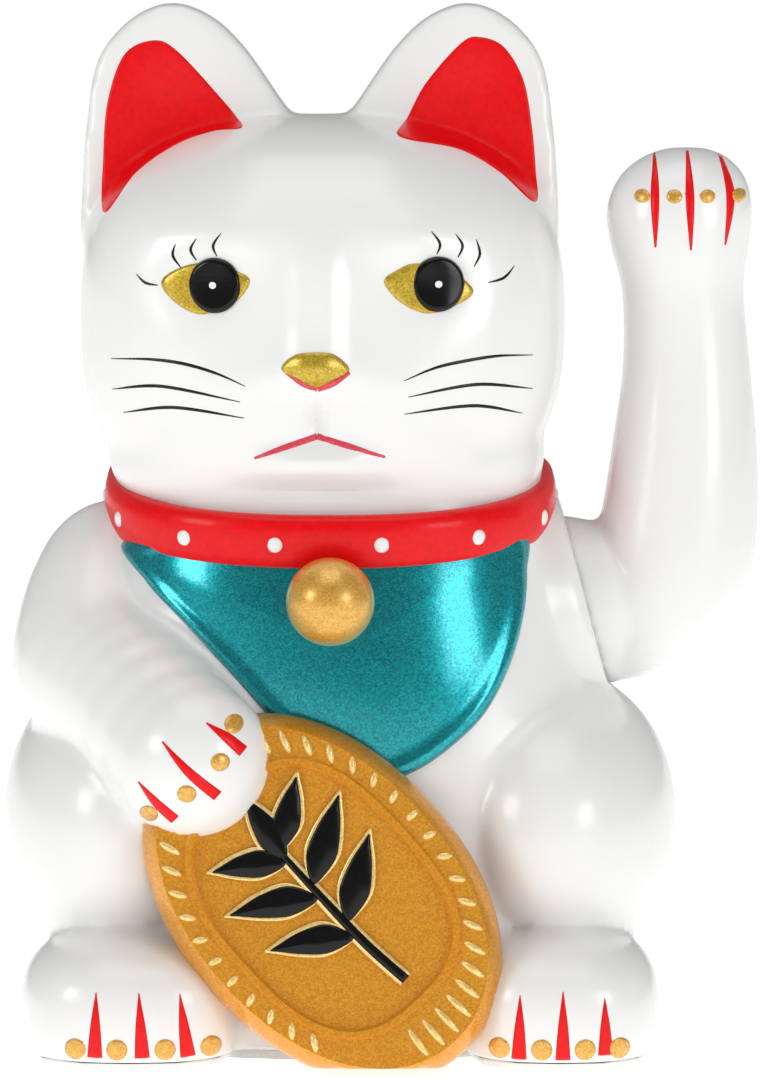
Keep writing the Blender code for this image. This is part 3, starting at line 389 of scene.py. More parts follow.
def points_of(mesh):
    """A mesh's points as rows of x, y, z."""
    flat = np.empty(len(mesh.vertices) * 3, np.float32)
    mesh.vertices.foreach_get("co", flat)
    return flat.reshape(-1, 3)


def put_points(mesh, points):
    """Moves a mesh's points to the given rows of x, y, z."""
    mesh.vertices.foreach_set("co", points.astype(np.float32).ravel())
    mesh.update()


def swell(points, centre, half, height, power=2.0):
    """Raises the front of the skin round a place (x, z), fading over half sizes; all in mm."""
    x, z = points[:, 0] / MM - centre[0], points[:, 2] / MM - centre[1]
    reach = np.abs(x / half[0]) ** power + np.abs(z / half[1]) ** power
    front = np.clip((-points[:, 1] / MM - 4) / 10, 0, 1)
    points[:, 1] -= height * MM * np.exp(-reach) * front


bm = bmesh.new()
loft(bm, smooth_rows(TORSO, 36), around=96, power=2.5)
for mass in MASSES.values():
    rounded(bm, *mass)
for row in smooth_rows(LOWERED_ARM, 13):
    rounded(bm, row[:3], row[3:], power=2.0, around=32)
for side in (-1, 1):
    ear(bm, side)
# A low lip round the shoulder, leaning with the body's side, hides the slit behind the raised arm
along_x(bm, LIP_FOOT, LIP_TOP, LIP_RADII)
recess = bmesh.new()
along_x(recess, 0.0, RECESS_LENGTH, (RECESS_RADIUS, RECESS_RADIUS))
bmesh.ops.recalc_face_normals(recess, faces=recess.faces)
body_skin = skin_of("body_skin", bm, VOXEL, SOFTENING, recess)

points = points_of(body_skin)
# Ear hollows
for side in (-1, 1):
    swell(points, (EAR_MIDDLE_X + side * 28.0, 178.0), (12.0, 14.0), -4.6, power=2.6)
# Eye sockets, brows, nose bridge and tip, muzzle and chin
for side in (-1, 1):
    swell(points, (-2.4 + side * 21.2, 147.5), (11.0, 7.0), -1.7)
    swell(points, (-2.4 + side * 17.0, 157.5), (10.0, 4.0), 0.9)
    swell(points, (-2.4 + side * 13.0, 127.5), (9.0, 7.0), 1.5)
swell(points, (-2.6, 145.0), (5.0, 13.0), 1.8, power=3.0)
swell(points, (-2.8, 132.0), (8.0, 5.5), 2.4)
swell(points, (-2.4, 113.6), (10.5, 3.2), 3.0, power=3.0)
swell(points, (-2.4, 108.6), (13.0, 1.9), -1.6)
# Groove from the nose down to the lip
swell(points, (-2.3, 123.6), (1.5, 4.4), -1.5, power=3.0)
put_points(body_skin, points)


def clothe(name, bm, finish, body, sharp=40, replaces=()):
    """Turns a bmesh into a finished piece that rides on a body."""
    mesh = bpy.data.meshes.new(name)
    bm.to_mesh(mesh)
    bm.free()
    mesh.materials.append(finish)
    mesh.shade_smooth()
    mesh.set_sharp_from_angle(angle=math.radians(sharp))
    piece = bpy.data.objects.new(name, mesh)
    bpy.context.scene.collection.objects.link(piece)
    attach(piece, body)
    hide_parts(*replaces)
    return piece


def give_wall(piece, wall):
    """A wall inwards from a piece's skin."""
    thick = piece.modifiers.new("wall", "SOLIDIFY")
    thick.thickness = wall
    thick.offset = -1
    thick.thickness_clamp = 2.0  # keeps the wall from breaking out of the thin lip round the shoulder


def half_shell(skin, side, floor=None):
    """The front (side -1) or rear (side 1) half of a skin, open where it meets the other half."""
    bm = bmesh.new()
    bm.from_mesh(skin)
    cuts = [((0, side * PARTING, 0), (0, -side, 0))]
    if floor:
        cuts.append(((0, 0, floor), (0, 0, -1)))
    for place, outwards in cuts:
        bmesh.ops.bisect_plane(
            bm, geom=bm.verts[:] + bm.edges[:] + bm.faces[:], plane_co=place, plane_no=outwards,
            clear_outer=True,
        )
    return bm


clear_gloss = {"Coat Weight": 0.25, "Coat Roughness": 0.12}
sprayed_white, shader = finish_of("sprayed_satin_white", "F2F2F0", 0.27, sockets=clear_gloss)
grain(sprayed_white, shader, 1.6 * MM, 0.012 * MM, detail=1.0)

for side, name, node_name in ((-1, "front_casing", "front_shell"), (1, "rear_casing", "rear_shell")):
    bm = half_shell(body_skin, side, SHELL_FLOOR)
    casing = clothe(name, bm, sprayed_white, "root", replaces=[node_name])
    give_wall(casing, WALL)


# Ear paint: gloss red sprayed through a mask into the hollow of each ear.
# It is a film that stands a tenth of a millimetre proud of the skin, inside an outline (x, z in mm).


def tree_of(mesh):
    """A search tree of a skin's faces, for laying paint on it."""
    return BVHTree.FromPolygons([v.co for v in mesh.vertices], [p.vertices for p in mesh.polygons])


def layer_on(tree):
    """Returns a function that gives the point a little proud of a skin's front at x, z, all in mm."""

    def lay(x, z, proud):
        hit, normal, _, _ = tree.ray_cast(Vector((x * MM, -0.3, z * MM)), Vector((0, 1, 0)))
        if hit is None:
            hit, normal, _, _ = tree.find_nearest(Vector((x * MM, -0.04, z * MM)))
        return hit + normal * proud * MM

    return lay


def loop_row(rows, share):
    """The row at a share of the way round a smooth closed curve through the given rows."""
    looped = [rows[k % len(rows)] for k in range(-1, len(rows) + 2)]
    return smooth_row(looped, 1 + share % 1.0 * len(rows))


def face_out(bm, verts):
    """Turns the faces of one new film so that they face the front."""
    faces = list({face for vert in verts for face in vert.link_faces})
    bm.normal_update()
    if sum(face.normal.y * face.calc_area() for face in faces) > 0:
        bmesh.ops.reverse_faces(bm, faces=faces)


def patch(bm, lay, outline, proud=0.1, crown=0.0, rim=0.0, cells=12):
    """A film inside a closed outline, higher by crown at its middle and by rim along its edge."""
    made = bmesh.ops.create_grid(bm, x_segments=2 * cells, y_segments=2 * cells, size=1.0)["verts"]
    middle = [sum(c) / len(outline) for c in zip(*outline)]
    for vert in made:
        u, v = vert.co.x, vert.co.y
        reach = max(abs(u), abs(v))
        if reach < 1e-6:
            vert.co = lay(*middle, proud + crown)
            continue
        if abs(u) >= abs(v):
            share = (v / reach + 1) / 8 if u > 0 else 0.5 + (1 - v / reach) / 8
        else:
            share = 0.25 + (1 - u / reach) / 8 if v > 0 else 0.75 + (u / reach + 1) / 8
        edge = loop_row(outline, share)
        x, z = (m + (e - m) * reach for m, e in zip(middle, edge))
        height = proud + crown * (1 - reach ** 2) + rim * math.exp(-(((reach - 0.93) / 0.05) ** 2))
        if reach > 0.999:
            height -= 0.6 * (proud + rim)
        vert.co = lay(x, z, height)
    face_out(bm, made)


def stroke(bm, lay, route, widths, proud=0.1, steps=14):
    """A brush stroke along a smooth curve, its width running smoothly through widths (mm)."""
    made = bmesh.ops.create_grid(bm, x_segments=steps, y_segments=4, size=1.0)["verts"]
    for vert in made:
        along, across = (vert.co.x + 1) / 2, vert.co.y
        place = along * (len(route) - 1)
        x, z = smooth_row(route, place)
        ahead = smooth_row(route, min(place + 0.02, len(route) - 1))
        behind = smooth_row(route, max(place - 0.02, 0))
        dx, dz = ahead[0] - behind[0], ahead[1] - behind[1]
        length = math.hypot(dx, dz)
        half = smooth_row([(w,) for w in widths], along * (len(widths) - 1))[0] / 2 * across
        vert.co = lay(x - dz / length * half, z + dx / length * half, proud * (1.15 - across * across))
    face_out(bm, made)


def painted(name, bm, finish, body="root", thick=0.3):
    """A paint film or an inlaid relief as a closed piece that dips into what it lies on."""
    piece = clothe(name, bm, finish, body, sharp=60)
    give_wall(piece, thick * MM)
    return piece


on_body = layer_on(tree_of(body_skin))
gloss_red = grained(
    "gloss_red_paint", ("EC0004", "E4000A", "F2030D"), 0.36, 1.2 * MM, 0.008 * MM,
    {"Coat Weight": 0.12, "Coat Roughness": 0.1, "Specular IOR Level": 0.22},
)

EAR_RED_LEFT = [
    (-43.6, 160.4), (-43.9, 170.8), (-43.0, 181.5), (-39.8, 190.3), (-34.2, 193.0), (-29.6, 190.9),
    (-21.3, 182.0), (-18.2, 178.3), (-17.2, 176.6), (-22.6, 175.8), (-29.8, 173.2), (-37.4, 168.0),
]
EAR_RED_RIGHT = [
    (13.2, 175.2), (14.8, 178.4), (18.4, 185.0), (25.2, 192.6), (29.0, 193.6), (33.4, 191.6),
    (37.0, 185.5), (38.6, 177.1), (39.4, 168.3), (39.2, 162.4), (32.3, 168.3), (24.5, 172.6),
]
bm = bmesh.new()
for outline in (EAR_RED_LEFT, EAR_RED_RIGHT):
    patch(bm, on_body, outline, cells=20)
painted("ear_paint", bm, gloss_red)


# Eyes and nose: low raised forms of the face moulding, sprayed through masks with yellow gold paint
# whose fine flakes sparkle one by one. The pupils are gloss black enamel, each with a painted highlight: a
# small white disc.
FLAKE_RELIEF = 0.02 * MM


def flake(name, colours, roughness, metallic, size):
    """A paint with flakes of a size in metres. Its colours are the middle, darkest and lightest."""
    middle, dark, light = colours
    lacquer = {"Coat Weight": 0.6, "Coat Roughness": 0.15}
    made, shader = finish_of(name, middle, roughness, metallic, lacquer)
    place = add_node(made, "ShaderNodeTexCoord").outputs["Object"]
    cells = add_node(made, "ShaderNodeTexVoronoi", {"Scale": 1.0 / size}, {"Vector": place})
    share = add_node(made, "ShaderNodeSeparateColor", None, {"Color": cells.outputs["Color"]})
    shades = {"data_type": "RGBA", 6: linear(dark), 7: linear(light)}
    mix = add_node(made, "ShaderNodeMix", shades, {0: share.outputs["Red"]})
    made.node_tree.links.new(mix.outputs[2], shader.inputs["Base Color"])
    bump = add_node(made, "ShaderNodeBump", {"Distance": FLAKE_RELIEF}, {"Height": share.outputs["Green"]})
    made.node_tree.links.new(bump.outputs["Normal"], shader.inputs["Normal"])
    return made


# Flakes are drawn about a quarter of a millimetre wide, coarser than real, so that they still show
eye_gold = flake("yellow_gold_flake_paint", ("C29E16", "AC8A10", "DCBE38"), 0.34, 0.55, 0.25 * MM)
warm_gold = flake("warm_gold_flake_paint", ("E0A83E", "D0952F", "F0BE5C"), 0.34, 0.45, 0.25 * MM)
gloss_black = grained(
    "gloss_black_enamel", ("070606", "050404", "0C0A0B"), 0.16, 0.9 * MM, 0.006 * MM,
    {"Specular IOR Level": 0.3},
)

EYE_LEFT = [
    (-32.1, 148.2), (-29.0, 150.9), (-23.8, 152.2), (-18.4, 150.9), (-15.2, 148.8), (-18.4, 144.4),
    (-24.4, 142.4), (-29.4, 144.5),
]
EYE_RIGHT = [
    (10.2, 148.7), (12.9, 151.0), (16.3, 152.1), (22.5, 150.8), (27.1, 146.8), (23.8, 144.0),
    (18.4, 142.6), (13.3, 144.8),
]
NOSE = [
    (-9.2, 132.4), (-6.8, 135.0), (-3.0, 135.6), (0.9, 135.1), (3.6, 132.2), (0.5, 130.3),
    (-2.8, 129.0), (-6.1, 130.5),
]
bm = bmesh.new()
for outline in (EYE_LEFT, EYE_RIGHT):
    patch(bm, on_body, outline, proud=0.25, crown=0.5)
patch(bm, on_body, NOSE, proud=0.3, crown=0.5)
painted("eyes_and_nose", bm, eye_gold, thick=1.0)


def disc(centre, half, points=12):
    """An oval outline round a centre (x, z), in mm."""
    angles = [math.tau * k / points for k in range(points)]
    return [(centre[0] + half[0] * math.cos(a), centre[1] + half[1] * math.sin(a)) for a in angles]


PUPILS = [(-21.9, 147.9), (20.4, 148.1)]
bm = bmesh.new()
for centre in PUPILS:
    patch(bm, on_body, disc(centre, (5.0, 5.3)), proud=0.85, crown=0.45)
painted("pupils", bm, gloss_black, thick=1.2)
# Painted highlight: a small white disc in the sprayed white on each pupil, standing in for a lamp's glint
bm = bmesh.new()
for x, z in PUPILS:
    patch(bm, on_body, disc((x - 0.1, z), (0.9, 0.95)), proud=1.36, cells=4)
painted("painted_eye_highlights", bm, sprayed_white, thick=0.3)


# Brow lashes and whiskers: drawn by hand with a fine brush in black enamel on the sprayed face.
# Each stroke is thick in its middle and runs out to a fine tip.
WHISKERS = [
    [(-41.9, 133.2), (-34.5, 133.6), (-27.9, 133.0), (-21.5, 131.3), (-16.1, 129.0)],
    [(-41.7, 127.3), (-32.1, 128.5), (-17.1, 126.0)],
    [(-39.6, 122.9), (-29.8, 124.5), (-16.3, 122.9)],
    [(14.0, 130.0), (19.5, 132.2), (25.0, 133.4), (32.0, 134.2), (38.6, 133.9)],
    [(14.8, 126.9), (27.9, 128.9), (38.6, 127.4)],
    [(14.0, 123.6), (27.3, 124.8), (36.7, 122.7)],
]
LASHES = [
    [(-36.9, 149.6), (-35.2, 148.1), (-32.8, 147.7)],
    [(-29.4, 155.6), (-29.9, 153.4), (-28.4, 151.2)],
    [(-25.4, 156.7), (-26.5, 154.6), (-25.4, 152.6)],
    [(-20.7, 157.8), (-22.2, 155.5), (-21.5, 153.5)],
    [(19.2, 158.1), (20.8, 155.8), (20.2, 153.8)],
    [(23.8, 157.5), (25.1, 155.3), (24.2, 153.1)],
    [(27.7, 156.4), (28.4, 153.7), (27.3, 151.3)],
    [(35.0, 151.1), (33.0, 149.0), (30.0, 148.2)],
]
bm = bmesh.new()
for route in WHISKERS:
    stroke(bm, on_body, route, (0.15, 0.6, 0.6, 0.15), proud=0.1, steps=30)
for route in LASHES:
    stroke(bm, on_body, route, (0.15, 0.55, 0.2), proud=0.1, steps=12)
painted("whiskers_and_lashes", bm, gloss_black, thick=0.2)


# Mouth and the red line under the nose: a softer, thinner red, brushed by hand along a shallow moulded
# groove. The brush leaves it a little uneven in shade.
lip_red = grained("brushed_lip_red", ("DC3347", "D62C42", "E45464"), 0.38, 0.8 * MM, 0.01 * MM)
bm = bmesh.new()
stroke(bm, on_body, [(-14.4, 115.2), (-8.8, 117.3), (-2.5, 119.4)], (0.5, 1.1, 1.2), steps=16)
stroke(bm, on_body, [(-2.5, 119.4), (3.8, 117.5), (10.4, 115.4)], (1.2, 1.1, 0.5), steps=16)
stroke(bm, on_body, [(-8.3, 131.7), (-5.2, 129.7), (-2.4, 128.7)], (0.6, 1.2, 1.5), steps=12)
stroke(bm, on_body, [(-2.4, 128.7), (0.6, 129.7), (3.7, 131.7)], (1.5, 1.2, 0.6), steps=12)
painted("mouth_lines", bm, lip_red, thick=0.2)


# Bib: a relief moulded on the chest with a rounded ridge along its edge, sprayed with teal flake paint.
# The paint is almost metallic, so the bulge of the chest shows as one broad bright sweep.
teal = flake("teal_flake_paint", ("0092A0", "007C8E", "0AB2B4"), 0.26, 0.85, 0.3 * MM)
BIB = [
    (-39.6, 97.5), (-35.5, 90.5), (-28.2, 83.4), (-19.2, 74.3), (-10.0, 64.5), (0.0, 57.0),
    (9.0, 53.6), (16.0, 55.6), (22.7, 59.9), (29.4, 66.2), (34.2, 74.9), (36.9, 84.0), (37.6, 92.2),
    (36.5, 99.5), (20.0, 100.0), (0.0, 99.0), (-20.0, 100.0),
]
bm = bmesh.new()
patch(bm, on_body, BIB, proud=0.7, crown=1.4, rim=0.5, cells=44)
painted("bib", bm, teal, thick=2.0)


# Neckband: a rounded ring moulded in ABS, sprayed gloss red and glued round the neck. Its low studs are
# painted white.
NECK_HALF = 40.4
NECK_FRONT, NECK_REAR = -37.2, 35.4
COLLAR_PLACE = Matrix.Translation((0, 0, 104.4)) @ Matrix.Rotation(math.radians(7.8), 4, "X")
BAND = [
    (0.3, -5.1), (1.8, -5.1), (2.8, -4.3), (3.3, -2.4), (3.5, 0.0), (3.3, 2.4), (2.8, 4.3),
    (1.8, 5.1), (0.3, 5.1),
]


def collar_spot(angle, out, up):
    """A point of the neckband: angle round the neck from +X, out from the neck and up the band, in mm."""
    power = 2.4
    x, y = math.cos(angle), math.sin(angle)
    stretch = (abs(x) ** power + abs(y) ** power) ** (-1.0 / power)
    depth = out - NECK_FRONT if y < 0 else out + NECK_REAR
    return COLLAR_PLACE @ Vector((x * stretch * (NECK_HALF + out) - 0.2, y * stretch * depth, up)) * MM


def drum(levels, around, closed):
    """A drum of unit radius with rings at z = 0, 1, 2 and so on, whose points are then put in place."""
    bm = bmesh.new()
    bmesh.ops.create_circle(bm, cap_ends=closed, segments=around, radius=1.0)
    edges = bm.edges[:]
    for _ in range(levels - 1):
        pulled = bmesh.ops.extrude_edge_only(bm, edges=edges)["geom"]
        ring = {vert for vert in pulled if isinstance(vert, bmesh.types.BMVert)}
        bmesh.ops.translate(bm, verts=list(ring), vec=(0, 0, 1))
        edges = [e for e in bm.edges if e.verts[0] in ring and e.verts[1] in ring]
    if closed:
        bmesh.ops.contextual_create(bm, geom=edges)
    return bm


bm = drum(len(BAND) + 1, around=160, closed=False)
for vert in bm.verts:
    out, up = BAND[round(vert.co.z) % len(BAND)]
    vert.co = collar_spot(math.atan2(vert.co.y, vert.co.x), out, up)
bmesh.ops.remove_doubles(bm, verts=bm.verts, dist=0.001 * MM)
bmesh.ops.recalc_face_normals(bm, faces=bm.faces)
clothe("neckband", bm, gloss_red, "root", replaces=["collar"])

STUD_OUT, STUD_UP = 3.35, -0.2
STUD_HALF = (1.5 * MM, 1.5 * MM, 0.6 * MM)
STUD_ANGLES = [
    -127.0, -103.5, -77.0, -52.0, -25.0, 0.0, 25.0, 50.0, 77.0, 103.0, 130.0, 155.0, 180.0, -153.0,
]
bm = bmesh.new()
for degrees in STUD_ANGLES:
    angle = math.radians(degrees)
    place = collar_spot(angle, STUD_OUT, STUD_UP)
    outwards = (place - collar_spot(angle, 0.0, STUD_UP)).normalized()
    turn = Vector((0, 0, 1)).rotation_difference(outwards).to_matrix().to_4x4()
    flat = Matrix.Diagonal((*STUD_HALF, 1.0))
    bmesh.ops.create_uvsphere(
        bm, u_segments=20, v_segments=10, radius=1.0, matrix=Matrix.Translation(place) @ turn @ flat
    )
clothe("neckband_studs", bm, sprayed_white, "root")


# Bell: a round bell moulded in ABS and sprayed warm gold, seated in a thin ring on the neckband.
# A peg behind it goes through the band and holds it.
low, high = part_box("bell")
radius = (high.z - low.z) / 2
centre = Vector(((low.x + high.x) / 2, low.y + radius, (low.z + high.z) / 2))
BELL_SWEEP = math.radians(128)  # from the pole at the front round to the seat
SEAT_RADIUS = 0.84 * radius
SEAT_FRONT, SEAT_REAR = 0.62 * radius + 0.2 * MM, 0.62 * radius + 1.6 * MM
PEG_RADIUS, PEG_END = 2.0 * MM, high.y - centre.y
profile = [(radius * math.sin(a), -radius * math.cos(a)) for a in np.linspace(0, BELL_SWEEP, 40)]
profile += [(SEAT_RADIUS, SEAT_FRONT), (SEAT_RADIUS, SEAT_REAR), (PEG_RADIUS, SEAT_REAR)]
profile += [(PEG_RADIUS, PEG_END), (0.0, PEG_END)]


def turned(profile, centre, steps=64):
    """A solid turned about an axis along Y from (radius, y) points that start and end on the axis."""
    bm = bmesh.new()
    points = [bm.verts.new((r, y, 0)) for r, y in profile]
    edges = [bm.edges.new(pair) for pair in zip(points, points[1:])]
    bmesh.ops.spin(
        bm, geom=points + edges, cent=(0, 0, 0), axis=(0, 1, 0), angle=math.tau, steps=steps,
        use_merge=True,
    )
    bmesh.ops.remove_doubles(bm, verts=bm.verts, dist=1e-6)
    bmesh.ops.recalc_face_normals(bm, faces=bm.faces)
    bmesh.ops.translate(bm, verts=bm.verts, vec=centre)
    return bm


clothe("round_bell", turned(profile, centre), warm_gold, "root", replaces=["bell"])


# Claws of the feet and the lowered paw: red lines brushed between the toes, and small drops of gold paint
# for nails, both straight on the sprayed shell.
TOE_LINES = [
    [(-44.2, 15.5), (-44.5, 3.0)], [(-36.1, 15.4), (-35.5, 3.0)], [(-28.4, 15.1), (-26.9, 3.0)],
    [(35.9, 14.9), (35.7, 2.6)], [(44.0, 15.7), (44.0, 2.6)], [(51.9, 14.3), (52.1, 3.4)],
]
TOE_NAILS = [-48.2, -40.3, -31.2, -22.6, 32.0, 40.0, 48.2, 54.8]
PAW_LINES = [
    [(-36.1, 55.7), (-32.8, 51.9), (-29.2, 48.5)], [(-31.5, 63.6), (-26.7, 58.2), (-21.1, 53.3)],
    [(-23.2, 67.0), (-19.4, 64.3), (-16.3, 61.5)],
]
PAW_NAILS = [(-34.2, 49.4), (-26.9, 53.8), (-20.6, 59.8), (-18.1, 66.6)]
bm = bmesh.new()
for top, foot in TOE_LINES:
    middle = [(a + b) / 2 for a, b in zip(top, foot)]
    stroke(bm, on_body, [top, middle, foot], (0.2, 1.9, 2.9), proud=0.12)
for route in PAW_LINES:
    stroke(bm, on_body, route, (0.3, 1.8, 2.2), proud=0.12)
painted("claw_lines", bm, gloss_red, thick=0.25)
bm = bmesh.new()
for x in TOE_NAILS:
    patch(bm, on_body, disc((x, 4.6), (2.0, 2.1), 8), proud=0.12, crown=0.25, cells=6)
for x, z in PAW_NAILS:
    patch(bm, on_body, disc((x, z), (1.8, 1.7), 8), proud=0.12, crown=0.25, cells=6)
painted("claw_nails", bm, warm_gold, thick=0.5)


# Coin: a flat oval koban, moulded on its own and glued between the paw and the base. It is sprayed with
# orange-gold flake paint and has raised ticks round its rim and a sunk panel with a plain bamboo sprig.
COIN_MIDDLE = Vector((-1.5, -54.5, 33.0))
COIN_LEAN = math.radians(-42.7)
COIN_SETBACK = Matrix.Rotation(math.radians(-8.0), 3, "X")
COIN_THICK = 8.0
COIN_FOOT = 0.8  # height where the oval is flattened to stand
PANEL = -0.8  # depth of the sunk panel
coin_gold = flake("orange_gold_flake_paint", ("E4960E", "D4860A", "F0AA28"), 0.34, 0.4, 0.28 * MM)
# A lighter gold for the raised ticks and leaf edges: a painted highlight on the coin's real gold relief
painted_highlight_gold = flake("painted_highlight_gold_flake_paint", ("F6D27A", "EBBE5A", "FFE9A4"), 0.24, 0.35, 0.25 * MM)


def on_coin(across, along, out):
    """A point of the coin: across and along its oval from the middle, and out from its face, in mm."""
    x = across * math.cos(COIN_LEAN) + along * math.sin(COIN_LEAN)
    z = along * math.cos(COIN_LEAN) - across * math.sin(COIN_LEAN)
    height = max(COIN_MIDDLE.z + z, COIN_FOOT)
    foot = Vector((0, COIN_MIDDLE.y, 0))
    upright = Vector((COIN_MIDDLE.x + x, -COIN_THICK / 2 - out, height))
    return (foot + COIN_SETBACK @ upright) * MM


# Half width, half height, squareness and height of each ring from the back edge to the panel's floor
COIN_RINGS = [
    (27.5, 39.6, 2.1, -COIN_THICK), (27.5, 39.6, 2.1, -5.2), (27.0, 39.1, 2.1, -3.6),
    (25.4, 37.5, 2.1, -0.7), (24.7, 36.8, 2.1, 0.0), (20.6, 27.6, 2.7, 0.0), (20.2, 27.2, 2.7, 0.8),
    (19.2, 26.2, 2.7, 0.8), (18.7, 25.7, 2.7, PANEL), (12.0, 17.0, 2.4, PANEL), (5.0, 7.0, 2.1, PANEL),
    (1.0, 1.4, 2.0, PANEL),
]


def oval(half_wide, half_tall, power, angle):
    """The point of an oval at an angle; it gets squarer as power rises above 2."""
    a, b = math.cos(angle), math.sin(angle)
    stretch = (abs(a) ** power + abs(b) ** power) ** (-1.0 / power)
    return a * stretch * half_wide, b * stretch * half_tall


bm = drum(len(COIN_RINGS), around=144, closed=True)
for vert in bm.verts:
    half_wide, half_tall, power, out = COIN_RINGS[round(vert.co.z)]
    angle = math.atan2(vert.co.y, vert.co.x)
    vert.co = on_coin(*oval(half_wide, half_tall, power, angle), out)
bmesh.ops.recalc_face_normals(bm, faces=bm.faces)
clothe("koban", bm, coin_gold, "root", sharp=30, replaces=["koban_coin"])

# The ticks round the rim and the leaves' raised edges are gold relief, coloured a brighter gold as a
# painted highlight
TICKS = 42
TICK_INNER, TICK_OUTER = (21.6, 29.6, 2.3), (24.5, 36.2, 2.1)  # half width, half height and squareness
TICK_HALF_WIDTH, TICK_HEIGHT = 0.75 * MM, 0.7 * MM
LOWEST_TICK = 5 * MM
bm = bmesh.new()
for tick in range(TICKS):
    angle = math.tau * tick / TICKS
    inner, outer = Vector(oval(*TICK_INNER, angle)), Vector(oval(*TICK_OUTER, angle))
    place = on_coin(*((inner + outer) / 2), 0.0)
    if place.z < LOWEST_TICK:
        continue
    axis = (on_coin(*outer, 0.0) - on_coin(*inner, 0.0)).normalized()
    face = COIN_SETBACK @ Vector((0, -1, 0))
    turn = Matrix((axis, face.cross(axis), face)).transposed().to_4x4()
    size = Matrix.Diagonal(((outer - inner).length / 2 * MM, TICK_HALF_WIDTH, TICK_HEIGHT, 1.0))
    bmesh.ops.create_uvsphere(
        bm, u_segments=10, v_segments=6, radius=1.0, matrix=Matrix.Translation(place) @ turn @ size
    )
clothe("coin_ticks", bm, painted_highlight_gold, "root")

# Leaves: root (across, along), direction in degrees from along, length and width (mm)
SPRIG = [
    ((0.5, 12.0), 50, 14.0, 5.6), ((-0.5, 9.5), -50, 14.0, 5.6), ((0.5, 3.0), 54, 17.5, 6.2),
    ((-0.5, 0.5), -54, 17.0, 6.2), ((0.5, -6.5), 52, 17.0, 6.2), ((-0.5, -9.5), -52, 16.0, 6.0),
    ((0.0, 10.0), 4, 14.0, 5.6),
]
# Along the blade from root to tip and back, and how far out to either side
LEAF_EDGE = [
    (0, 0), (0.12, 0.55), (0.35, 1.0), (0.65, 0.75), (0.9, 0.25), (1, 0), (0.9, -0.2), (0.65, -0.62),
    (0.35, -0.85), (0.12, -0.5),
]


def leaf(root, degrees, length, width):
    """A leaf's outline: a pointed blade with a slight bend."""
    turn = math.radians(degrees)
    ahead, aside = Vector((math.sin(turn), math.cos(turn))), Vector((math.cos(turn), -math.sin(turn)))
    found = []
    for share, side in LEAF_EDGE:
        bend = 0.08 * length * share * share * (1 if degrees > 0 else -1)
        spot = Vector(root) + ahead * share * length + aside * (side * width / 2 + bend)
        found.append((spot.x, spot.y))
    return found


STEM = [(1.2, -22.0), (0.2, -12.0), (0.0, 0.0), (0.0, 11.0)]
EDGE_LENGTH, EDGE_WIDTH = 1.2, 1.3  # how much longer and wider the gold under each leaf is
gold_lines, black_fill = bmesh.new(), bmesh.new()
for root, degrees, length, width in SPRIG:
    below = leaf(root, degrees, length + EDGE_LENGTH, width + EDGE_WIDTH)
    patch(gold_lines, on_coin, below, proud=PANEL + 0.75, cells=8)
    patch(black_fill, on_coin, leaf(root, degrees, length, width), proud=PANEL + 0.8, crown=0.5, cells=8)
stroke(gold_lines, on_coin, STEM, (3.1, 2.9, 2.5), proud=0.01, steps=20)
stroke(black_fill, on_coin, STEM, (1.9, 1.7, 1.2), proud=0.2, steps=20)
# The sprig's gold outlines are real relief, and their brighter gold is a painted highlight
painted("sprig_edges", gold_lines, painted_highlight_gold, thick=1.2)
painted("sprig_enamel", black_fill, gloss_black, thick=1.2)


# Raised arm: two thin halves glued along the middle plane, on a hub that the pivot shaft carries.
# Sections from its foot to the paw: height, inner x, outer x, half depth (mm)
ARM = [
    (69.0, 54.5, 61.0, 4.5), (72.0, 51.5, 68.5, 11.0), (77.0, 50.5, 74.5, 14.5),
    (84.0, 50.0, 79.3, 16.2), (93.0, 50.8, 82.2, 16.5), (104.0, 53.0, 82.9, 15.8),
    (116.0, 54.8, 82.5, 14.6), (130.0, 56.6, 81.2, 13.2), (144.0, 56.4, 79.9, 12.8),
    (153.0, 54.2, 80.8, 13.4), (160.0, 53.4, 81.5, 13.2), (166.0, 55.6, 80.2, 11.6),
    (170.0, 60.0, 76.8, 8.0), (171.9, 65.0, 72.5, 3.5),
]
SHOULDER_RADIUS = 16.5 * MM
SHOULDER_LENGTH = 13.0 * MM
SIDE_CLEARANCE = 2.2 * MM  # along X, so that the sloping faces clear as the arm turns
SHOULDER_TOP = 104 * MM
ARM_WALL = 1.6 * MM
ARM_VOXEL = 0.8 * MM
ARM_SOFTENING = 8

bm = bmesh.new()
rows = [(z, (a + b) / 2, (b - a) / 2, -d, d) for z, a, b, d in smooth_rows(ARM, 60)]
loft(bm, rows, around=64, power=2.2)
along_x(bm, SIDE_CLEARANCE, SHOULDER_LENGTH, (SHOULDER_RADIUS, SHOULDER_RADIUS - 2 * MM))
arm_skin = skin_of("arm_skin", bm, ARM_VOXEL, ARM_SOFTENING)
# The shoulder's inner face is trimmed flat, leaning with the body's side
points = points_of(arm_skin)
flat_x = PIVOT.x + SIDE_CLEARANCE - (points[:, 2] - PIVOT.z) * SIDE_SLOPE
inside = (points[:, 0] < flat_x) & (points[:, 2] < SHOULDER_TOP)
points[inside, 0] = flat_x[inside]
put_points(arm_skin, points)
for side, name, node_name in ((-1, "arm_front", "arm_front_shell"), (1, "arm_rear", "arm_rear_shell")):
    bm = half_shell(arm_skin, side)
    half = clothe(name, bm, sprayed_white, "arm", replaces=[node_name])
    give_wall(half, ARM_WALL)

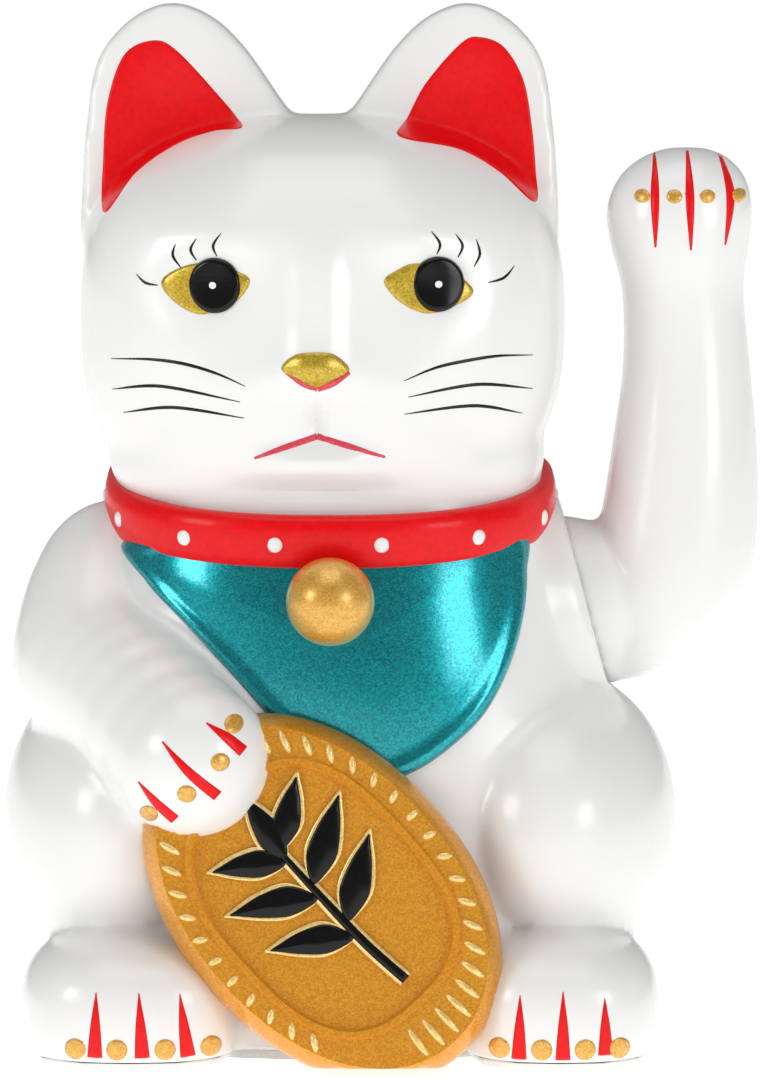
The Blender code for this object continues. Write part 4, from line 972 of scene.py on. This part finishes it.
# Claws of the raised paw, painted like those of the feet
ARM_LINES = [
    [(62.4, 171.0), (62.3, 163.0), (62.4, 153.5)], [(68.7, 172.0), (69.0, 163.0), (69.2, 153.0)],
    [(74.9, 171.3), (76.9, 163.5), (75.9, 153.9)],
]
ARM_NAILS = [(x, 163.3) for x in (59.9, 66.0, 72.4, 78.6)]
on_arm = layer_on(tree_of(arm_skin))
bm = bmesh.new()
for route in ARM_LINES:
    stroke(bm, on_arm, route, (0.5, 1.7, 0.4), proud=0.12, steps=24)
painted("arm_claw_lines", bm, gloss_red, body="arm", thick=0.25)
bm = bmesh.new()
for centre in ARM_NAILS:
    patch(bm, on_arm, disc(centre, (1.5, 1.3), 8), proud=0.12, crown=0.25, cells=6)
painted("arm_claw_nails", bm, warm_gold, body="arm", thick=0.5)


# Studio: a pale floor that glows a little, as a brightly lit paper sweep does, dim air all round, and
# three soft boxes that put broad highlights on both sides of each rounded form.
FLOOR_HALF = 9.0
FLOOR_DROP = 0.2 * MM  # below the base, so that the two faces don't coincide
glow = {"Emission Color": linear("FFFFFF"), "Emission Strength": 0.74}
paper, _ = finish_of("pale_paper_sweep", "FAFAFA", 0.9, sockets=glow)
bm = bmesh.new()
bmesh.ops.create_grid(bm, x_segments=1, y_segments=1, size=FLOOR_HALF)
bmesh.ops.translate(bm, verts=bm.verts, vec=(0, 0, -FLOOR_DROP))
floor_mesh = bpy.data.meshes.new("floor")
bm.to_mesh(floor_mesh)
bm.free()
floor_mesh.materials.append(paper)
floor = bpy.data.objects.new("floor", floor_mesh)
bpy.context.scene.collection.objects.link(floor)

world = bpy.data.worlds.new("studio")
world.use_nodes = True
air = world.node_tree.nodes["Background"]
air.inputs["Color"].default_value = linear("FFFFFF")
air.inputs["Strength"].default_value = 0.27
bpy.context.scene.world = world

# The soft boxes point at the middle of the cat
TARGET = Vector((0.0, -0.02, 0.095))
for name, place, size, power in (
    ("left_soft_box", (-0.75, -0.55, 0.4), 0.3, 1.8),
    ("right_soft_box", (0.6, -0.65, 0.3), 0.3, 1.4),
    ("top_soft_box", (0.0, -0.2, 1.0), 0.7, 2.2),
):
    light = bpy.data.lights.new(name, "AREA")
    light.size = size
    light.energy = power
    lamp = bpy.data.objects.new(name, light)
    lamp.location = place
    lamp.rotation_euler = (TARGET - Vector(place)).to_track_quat("-Z", "Y").to_euler()
    bpy.context.scene.collection.objects.link(lamp)

# Camera: well in front and a little above, so that the cat's forms keep their proportions
ELEVATION = math.radians(6.0)
DISTANCE = 1.6
FRAME_HEIGHT = 0.2075
FRAME_MIDDLE = Vector((0.0099, -0.02, 0.0977))
camera = bpy.data.cameras.new("camera")
camera.sensor_fit = "VERTICAL"
camera.sensor_height = 36.0
camera.lens = 36.0 * DISTANCE / FRAME_HEIGHT
eye = bpy.data.objects.new("camera", camera)
eye.location = FRAME_MIDDLE + Vector((0, -math.cos(ELEVATION), math.sin(ELEVATION))) * DISTANCE
eye.rotation_euler = (math.radians(90) - ELEVATION, 0, 0)
bpy.context.scene.collection.objects.link(eye)
bpy.context.scene.camera = eye
bpy.context.scene.view_settings.view_transform = "Standard"
